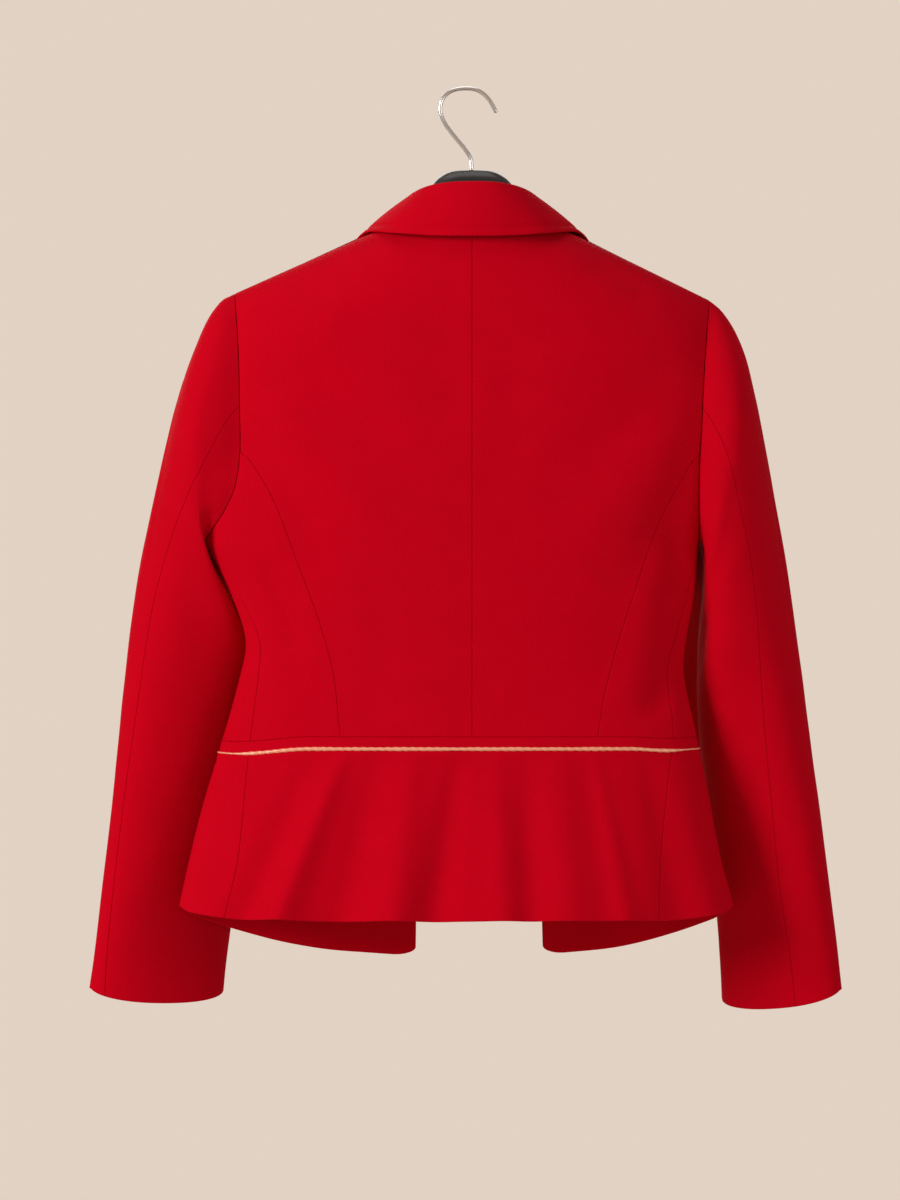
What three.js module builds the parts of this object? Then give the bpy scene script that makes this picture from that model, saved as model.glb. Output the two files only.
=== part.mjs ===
// A women's peplum blazer hanging on its hanger, in millimetres, +Z up.
// +X is the wearer's left, +Y the wearer's back. The origin is the inside top of the hook's crown.
import * as THREE from 'three';

// ---- driving dimensions ----
const CLOTH = 2; // thickness of one layer of cloth
const SEAM = 0.3; // gap between two pieces at a seam
const FULLNESS = 2.4; // exponent of a body section: 2 is an ellipse, more is squarer
const SLEEVE_FULLNESS = 2.2;
const SHOULDER_ROUNDING = 80; // height over which a shoulder rounds into the back or front
const NECK_ROUNDING = 30; // how softly the two shoulder lines meet behind the neck
const UNDERARM_Z = -388;
const WAISTBAND_TOP_Z = -555;
const PIPING_Z = -565.4;
const PIPING_DIAMETER = 4.2;
const WAISTBAND_BOTTOM_Z = PIPING_Z + PIPING_DIAMETER / 2;
const PEPLUM_TOP_Z = PIPING_Z - PIPING_DIAMETER / 2;
const PIPING_OUT = 1.2; // how far the piping stands proud of the cloth
const NECK_DIP = 3.5; // how much higher the back neck seam is at the centre than at the shoulders
const ARMHOLE_STEPS = 12; // rows of cloth from shoulder tip to underarm
const ARMHOLE_STEP = Math.PI / ARMHOLE_STEPS;
const PRINCESS_STEP = 7; // armhole row at which the curved back seam starts
// Where each sleeve's front seam runs, from the outer end round the back.
const FRONT_SLEEVE_SEAM = {
  left: THREE.MathUtils.degToRad(240),
  right: THREE.MathUtils.degToRad(262),
};
const WIRE_DIAMETER = 4;

const SIDES = {
  left: { sign: 1, neck: { x: 68, z: -115 }, tip: { x: 204, z: -174.6 } },
  right: { sign: -1, neck: { x: 68, z: -115 }, tip: { x: 204.3, z: -180.6 } },
};

// Half widths to the wearer's left and right, and depths behind and before the side line.
const BODY = [
  { z: -80, left: 205, right: 204, back: 57, front: 46 },
  { z: -175, left: 214, right: 212, back: 61, front: 54 },
  { z: -240, left: 221, right: 215, back: 62, front: 58 },
  { z: -305, left: 227, right: 214, back: 62, front: 62 },
  { z: -345, left: 231, right: 209, back: 61, front: 63.5 },
  { z: -388, left: 230, right: 196, back: 59, front: 64 },
  { z: -410, left: 219, right: 193.5, back: 57.5, front: 62.5 },
  { z: -435, left: 206, right: 191, back: 55, front: 60.5 },
  { z: -472, left: 194.5, right: 184, back: 51, front: 57 },
  { z: -500, left: 199, right: 182, back: 49, front: 55 },
  { z: -555, left: 215, right: 193, back: 48, front: 53 },
  { z: -610, left: 230.5, right: 204, back: 54, front: 58 },
  { z: -660, left: 243, right: 214, back: 61, front: 64 },
  { z: -705, left: 253, right: 226, back: 67, front: 70 },
  { z: -755, left: 262, right: 236, back: 72, front: 75 },
];

// How far out the armhole's edge lies on the back and on the front.
const ARMHOLE = {
  left: [
    { z: -174.6, back: 204, front: 204 },
    { z: -217, back: 200.7, front: 195 },
    { z: -272, back: 198.8, front: 187 },
    { z: -309, back: 199, front: 186 },
    { z: -341, back: 203, front: 191 },
    { z: -363, back: 213, front: 204 },
    { z: -379, back: 224, front: 220 },
    { z: -388, back: 230, front: 230 },
  ],
  right: [
    { z: -180.6, back: 204.3, front: 204.3 },
    { z: -217, back: 200.5, front: 195 },
    { z: -270, back: 197, front: 187 },
    { z: -312, back: 195.4, front: 185 },
    { z: -345, back: 195, front: 186.5 },
    { z: -363, back: 195, front: 189.5 },
    { z: -379, back: 195.5, front: 193.5 },
    { z: -388, back: 196, front: 196 },
  ],
};

// The curved seam between the centre back and the side back.
const PRINCESS = {
  left: [
    { z: -300, x: 197.5 },
    { z: -309, x: 196.5 },
    { z: -351, x: 171 },
    { z: -402, x: 151 },
    { z: -453, x: 132 },
    { z: -498, x: 119.5 },
    { z: -555, x: 112.5 },
  ],
  right: [
    { z: -300, x: 195.5 },
    { z: -311, x: 193.2 },
    { z: -366, x: 163.5 },
    { z: -427, x: 140.5 },
    { z: -476, x: 124.5 },
    { z: -518, x: 113.5 },
    { z: -555, x: 107.5 },
  ],
};

// The side seam, as a share of the half width, on the back of the body.
const SIDE_SEAM = {
  left: [
    { z: -388, share: 1 },
    { z: -410, share: 0.985 },
    { z: -455, share: 0.95 },
    { z: -555, share: 0.885 },
    { z: -656, share: 0.826 },
    { z: -715, share: 0.84 },
  ],
  right: [
    { z: -388, share: 1 },
    { z: -410, share: 0.985 },
    { z: -455, share: 0.955 },
    { z: -555, share: 0.895 },
    { z: -583, share: 0.85 },
    { z: -664, share: 0.755 },
    { z: -715, share: 0.7 },
  ],
};

// The roll line of the lapel and, below it, the front edge.
const FRONT_EDGE = {
  left: [
    { z: -115, x: 68 },
    { z: -150, x: 66 },
    { z: -200, x: 62 },
    { z: -300, x: 52 },
    { z: -400, x: 44 },
    { z: -480, x: 44 },
    { z: -555, x: 46 },
    { z: -755, x: 49 },
  ],
  right: [
    { z: -115, x: 68 },
    { z: -150, x: 66 },
    { z: -200, x: 64 },
    { z: -300, x: 57 },
    { z: -400, x: 52 },
    { z: -480, x: 53 },
    { z: -555, x: 56 },
    { z: -755, x: 62 },
  ],
};

// The hem's height round the body: 0 degrees is the centre back, 180 the centre front.
const HEM = [
  { around: 0, z: -712 },
  { around: 45, z: -711 },
  { around: 70, z: -706 },
  { around: 90, z: -701 },
  { around: 120, z: -716 },
  { around: 150, z: -738 },
  { around: 180, z: -750 },
];

// Soft folds that fan out down the peplum. x runs to the wearer's left; out is the height at the hem.
const PEPLUM_FOLDS = [
  { waist: 109, hem: 168, width: 15, out: 5, back: true },
  { waist: 136, hem: 200, width: 15, out: -3, back: true },
  { waist: 80, hem: 112, width: 18, out: -2.5, back: true },
  { waist: 50, hem: 68, width: 15, out: 3.5, back: true },
  { waist: 11, hem: 32, width: 15, out: -4, back: true },
  { waist: -20, hem: -27, width: 14, out: 2.5, back: true },
  { waist: -46, hem: -52, width: 13, out: -2, back: true },
  { waist: -73, hem: -83, width: 17, out: 4, back: true },
  { waist: -104, hem: -132, width: 12, out: 2.5, back: true },
  { waist: -150, hem: -180, width: 18, out: -4, back: true },
  { waist: 140, hem: 190, width: 18, out: 4, back: false },
  { waist: 95, hem: 120, width: 18, out: -4, back: false },
  { waist: -140, hem: -165, width: 18, out: 4, back: false },
  { waist: -98, hem: -118, width: 18, out: -3.5, back: false },
];
const PEPLUM_DROP = 150; // height over which the folds grow to the heights given
const FOLD_SPREAD = { waist: 0.6, hem: 1.2 }; // how wide each fold is there, as a share of its width

// Sleeve sections from armhole to cuff: the outer and inner ends of each, its half depth, the angle
// of the elbow seam from the outer end, in degrees round the back, and how far the front of the inner
// side laps in before the body.
const SLEEVE = {
  left: [
    { outX: 204, outY: 0, outZ: -174.6, inX: 230, inY: 0, inZ: -388, depth: 37, elbow: 85, lap: 0 },
    { outX: 216, outY: 0, outZ: -181, inX: 233, inY: 0, inZ: -391, depth: 41, elbow: 95, lap: 2 },
    { outX: 228, outY: 0, outZ: -198, inX: 235, inY: -1, inZ: -395, depth: 44, elbow: 101, lap: 8 },
    { outX: 240, outY: 0, outZ: -227, inX: 236, inY: -4, inZ: -401, depth: 47, elbow: 103, lap: 16 },
    { outX: 250.5, outY: 0, outZ: -257, inX: 233, inY: -12, inZ: -410, depth: 49, elbow: 95, lap: 22 },
    { outX: 262, outY: -2, outZ: -300, inX: 220, inY: -30, inZ: -424, depth: 50, elbow: 72, lap: 20 },
    { outX: 271, outY: -4, outZ: -344, inX: 205, inY: -50, inZ: -440, depth: 49, elbow: 46, lap: 14 },
    { outX: 279, outY: -8, outZ: -388, inX: 195, inY: -66, inZ: -458, depth: 47, elbow: 32, lap: 9 },
    { outX: 286, outY: -12, outZ: -432, inX: 190, inY: -78, inZ: -484, depth: 44, elbow: 23, lap: 5 },
    { outX: 293, outY: -16, outZ: -484, inX: 190, inY: -84, inZ: -520, depth: 40, elbow: 21, lap: 3 },
    { outX: 300, outY: -20, outZ: -545, inX: 194, inY: -87, inZ: -568, depth: 36, elbow: 19, lap: 1 },
    { outX: 308, outY: -25, outZ: -610, inX: 200, inY: -88, inZ: -622, depth: 31, elbow: 18, lap: 0 },
    { outX: 316.5, outY: -30, outZ: -678, inX: 207, inY: -89, inZ: -684, depth: 27, elbow: 20, lap: 0 },
    { outX: 326, outY: -36, outZ: -747, inX: 214, inY: -90, inZ: -744, depth: 23, elbow: 27, lap: 0 },
    { outX: 330, outY: -38, outZ: -774, inX: 217, inY: -90, inZ: -776, depth: 22, elbow: 32, lap: 0 },
  ],
  right: [
    { outX: 204.3, outY: 0, outZ: -180.6, inX: 196, inY: 0, inZ: -388, depth: 37, elbow: 84, lap: 0 },
    { outX: 215, outY: 0, outZ: -190, inX: 197.5, inY: 0, inZ: -391, depth: 41, elbow: 87, lap: 2 },
    { outX: 226, outY: 0, outZ: -207, inX: 198.5, inY: -1, inZ: -396, depth: 44, elbow: 88, lap: 8 },
    { outX: 235.5, outY: 0, outZ: -231, inX: 199, inY: -4, inZ: -403, depth: 47, elbow: 87, lap: 16 },
    { outX: 243, outY: 0, outZ: -262, inX: 199, inY: -9, inZ: -414, depth: 49, elbow: 84, lap: 20 },
    { outX: 251, outY: -2, outZ: -300, inX: 198.5, inY: -17, inZ: -428, depth: 50, elbow: 79, lap: 22 },
    { outX: 259, outY: -4, outZ: -344, inX: 198, inY: -26, inZ: -444, depth: 49, elbow: 71, lap: 24 },
    { outX: 266, outY: -7, outZ: -388, inX: 197, inY: -35, inZ: -462, depth: 47, elbow: 63, lap: 26 },
    { outX: 273, outY: -10, outZ: -440, inX: 196, inY: -43, inZ: -490, depth: 44, elbow: 58, lap: 31 },
    { outX: 280, outY: -14, outZ: -490, inX: 197.5, inY: -51, inZ: -524, depth: 40, elbow: 60, lap: 37 },
    { outX: 288, outY: -18, outZ: -548, inX: 201, inY: -59, inZ: -568, depth: 36, elbow: 63, lap: 35 },
    { outX: 297, outY: -22, outZ: -610, inX: 207, inY: -67, inZ: -622, depth: 31, elbow: 67, lap: 23 },
    { outX: 306, outY: -27, outZ: -678, inX: 212, inY: -75, inZ: -684, depth: 27, elbow: 70, lap: 8 },
    { outX: 315, outY: -32, outZ: -748, inX: 217, inY: -80, inZ: -748, depth: 23, elbow: 69, lap: 0 },
    { outX: 318.5, outY: -34, outZ: -775, inX: 218.5, inY: -82, inZ: -783, depth: 22, elbow: 69, lap: 0 },
  ],
};
const CUFF_DROP = 12; // how much lower the middle of the cuff's back hangs than its ends
const SHOULDER_BLEND_STATIONS = 4; // stations over which the armhole becomes a plain section

// Collar sections from the centre back round to the front end: seam, fold and outer edge.
const COLLAR = [
  { seam: [0, 46, -111], fold: [0, 49, -81], edge: [0, 62.5, -126] },
  { seam: [28, 41, -111], fold: [23, 45, -82], edge: [36, 58, -126.5] },
  { seam: [50, 27, -111.5], fold: [41, 30, -86], edge: [68, 44, -126.5] },
  { seam: [63, 4, -113], fold: [51, 4, -93], edge: [90.5, 5, -121.8] },
  { seam: [64, -22, -119], fold: [55, -25, -103], edge: [101, -22, -130] },
  { seam: [62, -39, -134], fold: [57, -44, -122], edge: [104, -39, -147] },
  { seam: [61, -44, -148], fold: [58, -50, -142], edge: [101, -46.5, -160] },
  { seam: [61, -47, -158], fold: [60, -53.5, -156], edge: [96, -51.5, -170] },
];
const COLLAR_FOLD_RADIUS = 3.5;

const LAPEL = {
  top: { z: -166 }, // where the roll line meets the collar
  tip: { out: 68, z: -190 }, // the lapel's point, outwards from the roll line
  end: { out: 3, z: -400 }, // where the lapel runs out at the front edge
  belly: 6, // how far its edge bows outwards
  lift: 2.5, // height of its inner face above the front
};

const HOOK_ROUTE = [
  { x: 0.5, z: -67.6 },
  { x: 1.5, z: -58 },
  { x: 7.5, z: -48.5 },
  { x: 17, z: -37 },
  { x: 24.5, z: -26 },
  { x: 27.5, z: -16 },
  { x: 25, z: -6.5 },
  { x: 17.5, z: 0 },
  { x: 6, z: 2 },
  { x: -5, z: 0.3 },
  { x: -14, z: -7 },
  { x: -21, z: -19 },
];

// Hanger sections along one arm, as the drop of its top from the shoulder line and its half sizes.
const HANGER_ARM = [
  { x: 0, top: -68, height: 16, depth: 13 },
  { x: 18, top: -69.5, height: 16, depth: 13 },
  { x: 30, top: -76, height: 15, depth: 12.5 },
  { x: 38, top: -86, height: 14, depth: 12 },
  { x: 50, top: -105, height: 14, depth: 11.5 },
  { x: 62, top: -119, height: 14, depth: 12 },
  { x: 85, top: -130, height: 15, depth: 13 },
  { x: 120, top: -145, height: 17, depth: 15 },
  { x: 165, top: -166, height: 19, depth: 18 },
  { x: 184, top: -178, height: 16, depth: 16 },
  { x: 192, top: -190, height: 8, depth: 8 },
];

// ---- interpolation in the tables ----
const { lerp, clamp, smoothstep, degToRad } = THREE.MathUtils;

// The value of a column at one place along a table, on a smooth curve through the rows.
function along(rows, key, column, at) {
  const order = Math.sign(rows[rows.length - 1][key] - rows[0][key]);
  let last = rows.length - 2;
  while (last > 0 && (at - rows[last][key]) * order < 0) last -= 1;
  const [before, a, b, after] = [last - 1, last, last + 1, last + 2].map(
    (index) => rows[clamp(index, 0, rows.length - 1)],
  );
  const span = b[key] - a[key];
  const share = clamp((at - a[key]) / span, 0, 1);
  const leave = ((b[column] - before[column]) / (b[key] - before[key])) * span;
  const arrive = ((after[column] - a[column]) / (after[key] - a[key])) * span;
  const rest = 1 - share;
  return (
    a[column] * rest * rest * (1 + 2 * share) +
    b[column] * share * share * (3 - 2 * share) +
    leave * share * rest * rest -
    arrive * share * share * rest
  );
}

function byStation(rows, column, at) {
  const numbered = rows.map((row, station) => ({ station, value: row[column] }));
  return along(numbered, 'station', 'value', at);
}

// ---- the body's surface ----
const sideOf = (x) => (x >= 0 ? 'left' : 'right');

function halfWidth(z, side) {
  return along(BODY, 'z', side, z);
}

// Height of the shoulder line at x.
function shoulderZ(x) {
  const slopes = Object.values(SIDES).map(({ neck, tip }) => {
    const run = Math.hypot(tip.x, NECK_ROUNDING) - Math.hypot(neck.x, NECK_ROUNDING);
    return (tip.z - neck.z) / run;
  });
  const { neck } = SIDES.left;
  const slope = lerp(slopes[1], slopes[0], smoothstep(x, -neck.x, neck.x));
  return neck.z + slope * (Math.hypot(x, NECK_ROUNDING) - Math.hypot(neck.x, NECK_ROUNDING));
}

// One at full depth, falling to 0 at the shoulder line.
function shoulderShare(x, z) {
  const above = clamp(1 - (shoulderZ(x) - z) / SHOULDER_ROUNDING, 0, 2);
  return 1 - above ** FULLNESS;
}

// Zero on the body's surface, positive outside it.
function bodyField(x, y, z) {
  const width = Math.abs(x) / halfWidth(z, sideOf(x));
  const depth = Math.abs(y) / along(BODY, 'z', y >= 0 ? 'back' : 'front', z);
  return depth ** FULLNESS - (1 - width ** FULLNESS) * shoulderShare(x, z);
}

function bodyNormal(p) {
  const e = 0.2;
  return new THREE.Vector3(
    bodyField(p.x + e, p.y, p.z) - bodyField(p.x - e, p.y, p.z),
    bodyField(p.x, p.y + e, p.z) - bodyField(p.x, p.y - e, p.z),
    bodyField(p.x, p.y, p.z + e) - bodyField(p.x, p.y, p.z - e),
  ).normalize();
}

// The surface point at an angle round the body: 0 is the centre back, 180 degrees the centre front.
function bodyPoint(side, around, z) {
  const reach = halfWidth(z, side) * Math.sin(around) ** (2 / FULLNESS);
  const x = SIDES[side].sign * reach;
  const face = Math.cos(around);
  const depth = along(BODY, 'z', face >= 0 ? 'back' : 'front', z);
  const share = Math.max(shoulderShare(x, z), 0) ** (1 / FULLNESS);
  const y = Math.sign(face) * depth * Math.abs(face) ** (2 / FULLNESS) * share;
  return new THREE.Vector3(x, y, z);
}

// The angle round the body at which the surface is x out from the middle.
function angleAt(side, x, z, onBack) {
  const share = clamp(x / halfWidth(z, side), 0, 1);
  const angle = Math.asin(share ** (FULLNESS / 2));
  return onBack ? angle : Math.PI - angle;
}

function sideSeamAngle(side, z) {
  const share = along(SIDE_SEAM[side], 'z', 'share', z);
  return angleAt(side, share * halfWidth(z, side), z, true);
}

// How far the peplum's folds push its cloth out, growing from the waist to the hem.
function peplumFold(p) {
  const fall = Math.max((PEPLUM_TOP_Z - p.z) / PEPLUM_DROP, 0);
  return PEPLUM_FOLDS.filter(({ back }) => back === p.y >= 0).reduce((sum, fold) => {
    const centre = lerp(fold.waist, fold.hem, fall);
    const spread = fold.width * lerp(FOLD_SPREAD.waist, FOLD_SPREAD.hem, fall);
    return sum + fold.out * fall * Math.exp(-(((p.x - centre) / spread) ** 2));
  }, 0);
}

// ---- closed walls from a grid of surface points ----
// point(u, v) and normal(p, u, v) describe the outer face.
function wall(columns, rows, point, normal, thickness = CLOTH) {
  const outer = [];
  for (let row = 0; row <= rows; row += 1) {
    for (let column = 0; column <= columns; column += 1) {
      outer.push(point(column / columns, row / rows));
    }
  }
  const at = (column, row) => row * (columns + 1) + column;
  const normals = outer.map((p, index) =>
    normal(p, (index % (columns + 1)) / columns, Math.floor(index / (columns + 1)) / rows),
  );
  const pulled = outer.map((p) => p.clone());
  const pull = (edge, inside) => {
    const towards = outer[inside].clone().sub(outer[edge]).normalize();
    pulled[edge].addScaledVector(towards, SEAM / 2);
  };
  for (let row = 0; row <= rows; row += 1) {
    pull(at(0, row), at(1, row));
    pull(at(columns, row), at(columns - 1, row));
  }
  for (let column = 0; column <= columns; column += 1) {
    pull(at(column, 0), at(column, 1));
    pull(at(column, rows), at(column, rows - 1));
  }
  const inner = pulled.map((p, index) => p.clone().addScaledVector(normals[index], -thickness));
  return closedSheet(pulled, inner, columns, rows);
}

// Joins two faces of a sheet round their edges into one closed body with its faces pointing out.
function closedSheet(outer, inner, columns, rows) {
  const positions = [...outer, ...inner].flatMap((p) => [p.x, p.y, p.z]);
  const at = (column, row) => row * (columns + 1) + column;
  const index = [];
  const quad = (a, b, c, d) => index.push(a, b, c, a, c, d);
  const lower = outer.length;
  for (let row = 0; row < rows; row += 1) {
    for (let column = 0; column < columns; column += 1) {
      const [a, b, c, d] = [
        at(column, row),
        at(column, row + 1),
        at(column + 1, row + 1),
        at(column + 1, row),
      ];
      quad(a, b, c, d);
      quad(lower + d, lower + c, lower + b, lower + a);
    }
  }
  for (let row = 0; row < rows; row += 1) {
    const [a, b] = [at(0, row), at(0, row + 1)];
    const [c, d] = [at(columns, row), at(columns, row + 1)];
    quad(a, lower + a, lower + b, b);
    quad(c, d, lower + d, lower + c);
  }
  for (let column = 0; column < columns; column += 1) {
    const [a, b] = [at(column, 0), at(column + 1, 0)];
    const [c, d] = [at(column, rows), at(column + 1, rows)];
    quad(b, lower + b, lower + a, a);
    quad(d, c, lower + c, lower + d);
  }
  const geometry = new THREE.BufferGeometry();
  geometry.setAttribute('position', new THREE.Float32BufferAttribute(positions, 3));
  geometry.setIndex(index);
  return facingOut(geometry);
}

// Turns all faces over where the body came out inside out, as mirrored pieces do.
function facingOut(geometry) {
  const { array } = geometry.getAttribute('position');
  const index = geometry.getIndex().array;
  const corner = (n) => new THREE.Vector3().fromArray(array, index[n] * 3);
  let volume = 0;
  for (let n = 0; n < index.length; n += 3) {
    volume += corner(n).dot(corner(n + 1).cross(corner(n + 2)));
  }
  if (volume < 0) {
    for (let n = 0; n < index.length; n += 3) {
      [index[n], index[n + 1]] = [index[n + 1], index[n]];
    }
  }
  geometry.computeVertexNormals();
  return geometry;
}

// The unit normal of any surface point(u, v), turned to the side of the hint.
function slopeNormal(point, hint) {
  const e = 0.004;
  const difference = (a, b) => point(...b).sub(point(...a));
  return (p, u, v) => {
    const across = difference([Math.max(u - e, 0), v], [Math.min(u + e, 1), v]);
    const down = difference([u, Math.max(v - e, 0)], [u, Math.min(v + e, 1)]);
    const normal = across.cross(down).normalize();
    return normal.dot(hint(p, u, v)) < 0 ? normal.negate() : normal;
  };
}

// ---- upper body ----
const ROWS_BELOW_UNDERARM = [-400, -414, -432, -452, -474, -500, -528, WAISTBAND_TOP_Z];
const BODY_ROWS = ARMHOLE_STEPS + ROWS_BELOW_UNDERARM.length;

// Height of a row where it meets the armhole or, below the underarm, all the way across.
function rowZ(side, row) {
  if (row > ARMHOLE_STEPS) return ROWS_BELOW_UNDERARM[row - ARMHOLE_STEPS - 1];
  const middle = (SIDES[side].tip.z + UNDERARM_Z) / 2;
  const reach = (SIDES[side].tip.z - UNDERARM_Z) / 2;
  return middle + reach * Math.cos(row * ARMHOLE_STEP);
}

// Rows slope like the shoulder at the top of the body and are level at the underarm.
function slopedRowZ(side, row, topZ) {
  const rest = clamp(1 - row / ARMHOLE_STEPS, 0, 1);
  return rowZ(side, row) + (topZ - SIDES[side].tip.z) * rest * rest;
}

// Height of the top edge, the back neck and then the shoulder line, for one angle round the body.
function topEdgeZ(side, around, hasNeck) {
  const { neck } = SIDES[side];
  let z = SIDES[side].tip.z;
  for (let pass = 0; pass < 8; pass += 1) {
    const x = Math.abs(bodyPoint(side, around, z).x);
    const backNeckZ = neck.z + NECK_DIP * (1 - (x / neck.x) ** 2);
    z = hasNeck && x < neck.x ? backNeckZ : shoulderZ(SIDES[side].sign * x);
  }
  return z;
}

// A panel of the upper body from its first row to the waistband, between two edges that each give
// their angle round the body on a row.
function bodyPanel(side, { columns, firstRow = 0, from, to, hasNeck = false }) {
  const rows = BODY_ROWS - firstRow;
  const point = (u, v) => {
    const row = firstRow + Math.round(v * rows);
    const level = rowZ(side, row);
    if (row >= ARMHOLE_STEPS || firstRow > 0) {
      return bodyPoint(side, lerp(from(row, level), to(row, level), u), level);
    }
    const topZ = topEdgeZ(side, lerp(from(0, level), to(0, level), u), hasNeck);
    const z = slopedRowZ(side, row, topZ);
    return bodyPoint(side, lerp(from(row, z, level), to(row, z, level), u), z);
  };
  return wall(columns, rows, point, bodyNormal);
}

const armholeAngle = (side, face, z) =>
  angleAt(side, along(ARMHOLE[side], 'z', face, z), z, face === 'back');
const princessAngle = (side, z) => angleAt(side, along(PRINCESS[side], 'z', 'x', z), z, true);
const frontEdgeAngle = (side, z) => angleAt(side, along(FRONT_EDGE[side], 'z', 'x', z), z, false);

function backPanel(side) {
  return bodyPanel(side, {
    columns: 10,
    hasNeck: true,
    from: () => 0,
    to: (row, z, level = z) =>
      row < PRINCESS_STEP ? armholeAngle(side, 'back', level) : princessAngle(side, level),
  });
}

function sideBackPanel(side) {
  return bodyPanel(side, {
    columns: 5,
    firstRow: PRINCESS_STEP,
    from: (row, z) => princessAngle(side, z),
    to: (row, z) =>
      row <= ARMHOLE_STEPS ? armholeAngle(side, 'back', z) : sideSeamAngle(side, z),
  });
}

function frontPanel(side) {
  return bodyPanel(side, {
    columns: 10,
    from: (row, z, level = z) =>
      row <= ARMHOLE_STEPS ? armholeAngle(side, 'front', level) : sideSeamAngle(side, level),
    to: (row, z) => frontEdgeAngle(side, z),
  });
}

// ---- lapels ----
// u runs outwards from the roll line, v down it. The lapel lies on the front, moved out from it.
function lapelPoint(side, u, v) {
  const { top, tip, end, belly, lift } = LAPEL;
  const innerZ = lerp(top.z, end.z, v);
  const outerZ = lerp(tip.z, end.z, v);
  const bow = belly * Math.sin(Math.PI * v);
  const reach = lerp(tip.out, end.out, v) + bow;
  const z = lerp(innerZ, outerZ, u);
  const x = along(FRONT_EDGE[side], 'z', 'x', innerZ) + reach * u;
  const p = bodyPoint(side, angleAt(side, x, z, false), z);
  const rise = lerp(0.5, lift, smoothstep(u, 0, 0.4));
  return p.addScaledVector(bodyNormal(p), rise + CLOTH);
}

function lapel(side) {
  const point = (u, v) => lapelPoint(side, u, v);
  return wall(4, 9, point, slopeNormal(point, bodyNormal));
}

// ---- collar ----
const COLLAR_PROFILE_ROWS = 9;

// Across: -1 is the front end on the wearer's right, 0 the centre back, 1 the front end on the left.
function collarSection(across) {
  const place = Math.abs(across) * (COLLAR.length - 1);
  const sign = across < 0 ? -1 : 1;
  const read = (name) => {
    const rows = COLLAR.map((row) => ({ x: row[name][0], y: row[name][1], z: row[name][2] }));
    const [x, y, z] = ['x', 'y', 'z'].map((axis) => byStation(rows, axis, place));
    return new THREE.Vector3(sign * x, y, z);
  };
  return { seam: read('seam'), fold: read('fold'), edge: read('edge') };
}

// The stand rises from the seam, turns over the fold on a small round and falls to the edge.
function collarPoint(u, v) {
  const { seam, fold, edge } = collarSection(2 * u - 1);
  const stand = seam.clone().sub(fold).normalize();
  const fall = edge.clone().sub(fold).normalize();
  const up = stand.clone().add(fall).normalize().negate();
  const out = edge.clone().sub(seam).projectOnPlane(up).normalize();
  const turnStart = 1 / 3;
  const turnEnd = 2 / 3;
  const turn = Math.PI * clamp((v - turnStart) / (turnEnd - turnStart), 0, 1);
  const rounded = fold
    .clone()
    .addScaledVector(up, COLLAR_FOLD_RADIUS * (Math.sin(turn) - 1))
    .addScaledVector(out, -COLLAR_FOLD_RADIUS * Math.cos(turn));
  if (v < turnStart) return seam.lerp(rounded, v / turnStart);
  if (v > turnEnd) return rounded.lerp(edge, (v - turnEnd) / (1 - turnEnd));
  return rounded;
}

function collar() {
  const normal = slopeNormal(collarPoint, () => new THREE.Vector3());
  const point = (u, v) => {
    const p = collarPoint(u, v);
    return p.clone().addScaledVector(normal(p, u, v), CLOTH / 2);
  };
  return wall(22, COLLAR_PROFILE_ROWS, point, normal);
}

// ---- waist and peplum ----
// A signed angle round the body: positive on the wearer's left.
function roundPoint(angle, z) {
  return bodyPoint(angle >= 0 ? 'left' : 'right', Math.abs(angle), z);
}

function waistband() {
  const point = (u, v) => {
    const z = lerp(WAISTBAND_TOP_Z, WAISTBAND_BOTTOM_Z, v);
    return roundPoint(lerp(-frontEdgeAngle('right', z), frontEdgeAngle('left', z), u), z);
  };
  return wall(48, 1, point, bodyNormal);
}

function piping() {
  const steps = 60;
  const route = Array.from({ length: steps + 1 }, (_, step) => {
    const edges = [-frontEdgeAngle('right', PIPING_Z), frontEdgeAngle('left', PIPING_Z)];
    const p = roundPoint(lerp(...edges, step / steps), PIPING_Z);
    return p.addScaledVector(bodyNormal(p).setZ(0), PIPING_OUT - PIPING_DIAMETER / 2);
  });
  return tube(route, PIPING_DIAMETER - 2 * SEAM, steps, 8);
}

// A rod of round section along a smooth route.
function tube(route, diameter, steps, sides) {
  const corners = Array.from({ length: sides }, (_, side) => {
    const angle = ((side + 0.5) / sides) * 2 * Math.PI;
    return new THREE.Vector2(Math.cos(angle), Math.sin(angle)).multiplyScalar(diameter / 2);
  });
  return new THREE.ExtrudeGeometry(new THREE.Shape(corners), {
    extrudePath: new THREE.CatmullRomCurve3(route, false, 'centripetal'),
    steps,
  });
}

// A panel of the peplum between two edges, each given as a signed angle round the body at a height.
function peplumPanel(columns, from, to) {
  const rows = 7;
  const hemZ = (angle) => along(HEM, 'around', 'z', THREE.MathUtils.radToDeg(Math.abs(angle)));
  const point = (u, v) => {
    const hemAngle = lerp(from(HEM[0].z), to(HEM[0].z), u);
    const z = lerp(PEPLUM_TOP_Z, hemZ(hemAngle), v);
    const p = roundPoint(lerp(from(z), to(z), u), z);
    return p.addScaledVector(bodyNormal(p), peplumFold(p));
  };
  const normal = slopeNormal(point, (p) => bodyNormal(p));
  return wall(columns, rows, point, normal);
}

function peplumBack() {
  return peplumPanel(
    24,
    (z) => -sideSeamAngle('right', z),
    (z) => sideSeamAngle('left', z),
  );
}

function peplumFront(side) {
  const { sign } = SIDES[side];
  return peplumPanel(
    12,
    (z) => sign * sideSeamAngle(side, z),
    (z) => sign * frontEdgeAngle(side, z),
  );
}

// ---- sleeves ----
const SLEEVE_STATIONS = SLEEVE.left.length - 1;
const SLEEVE_ROWS = 20;
const SLEEVE_START = 0.06; // in stations, so that the sleeve stays clear of the armhole's edge

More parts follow.
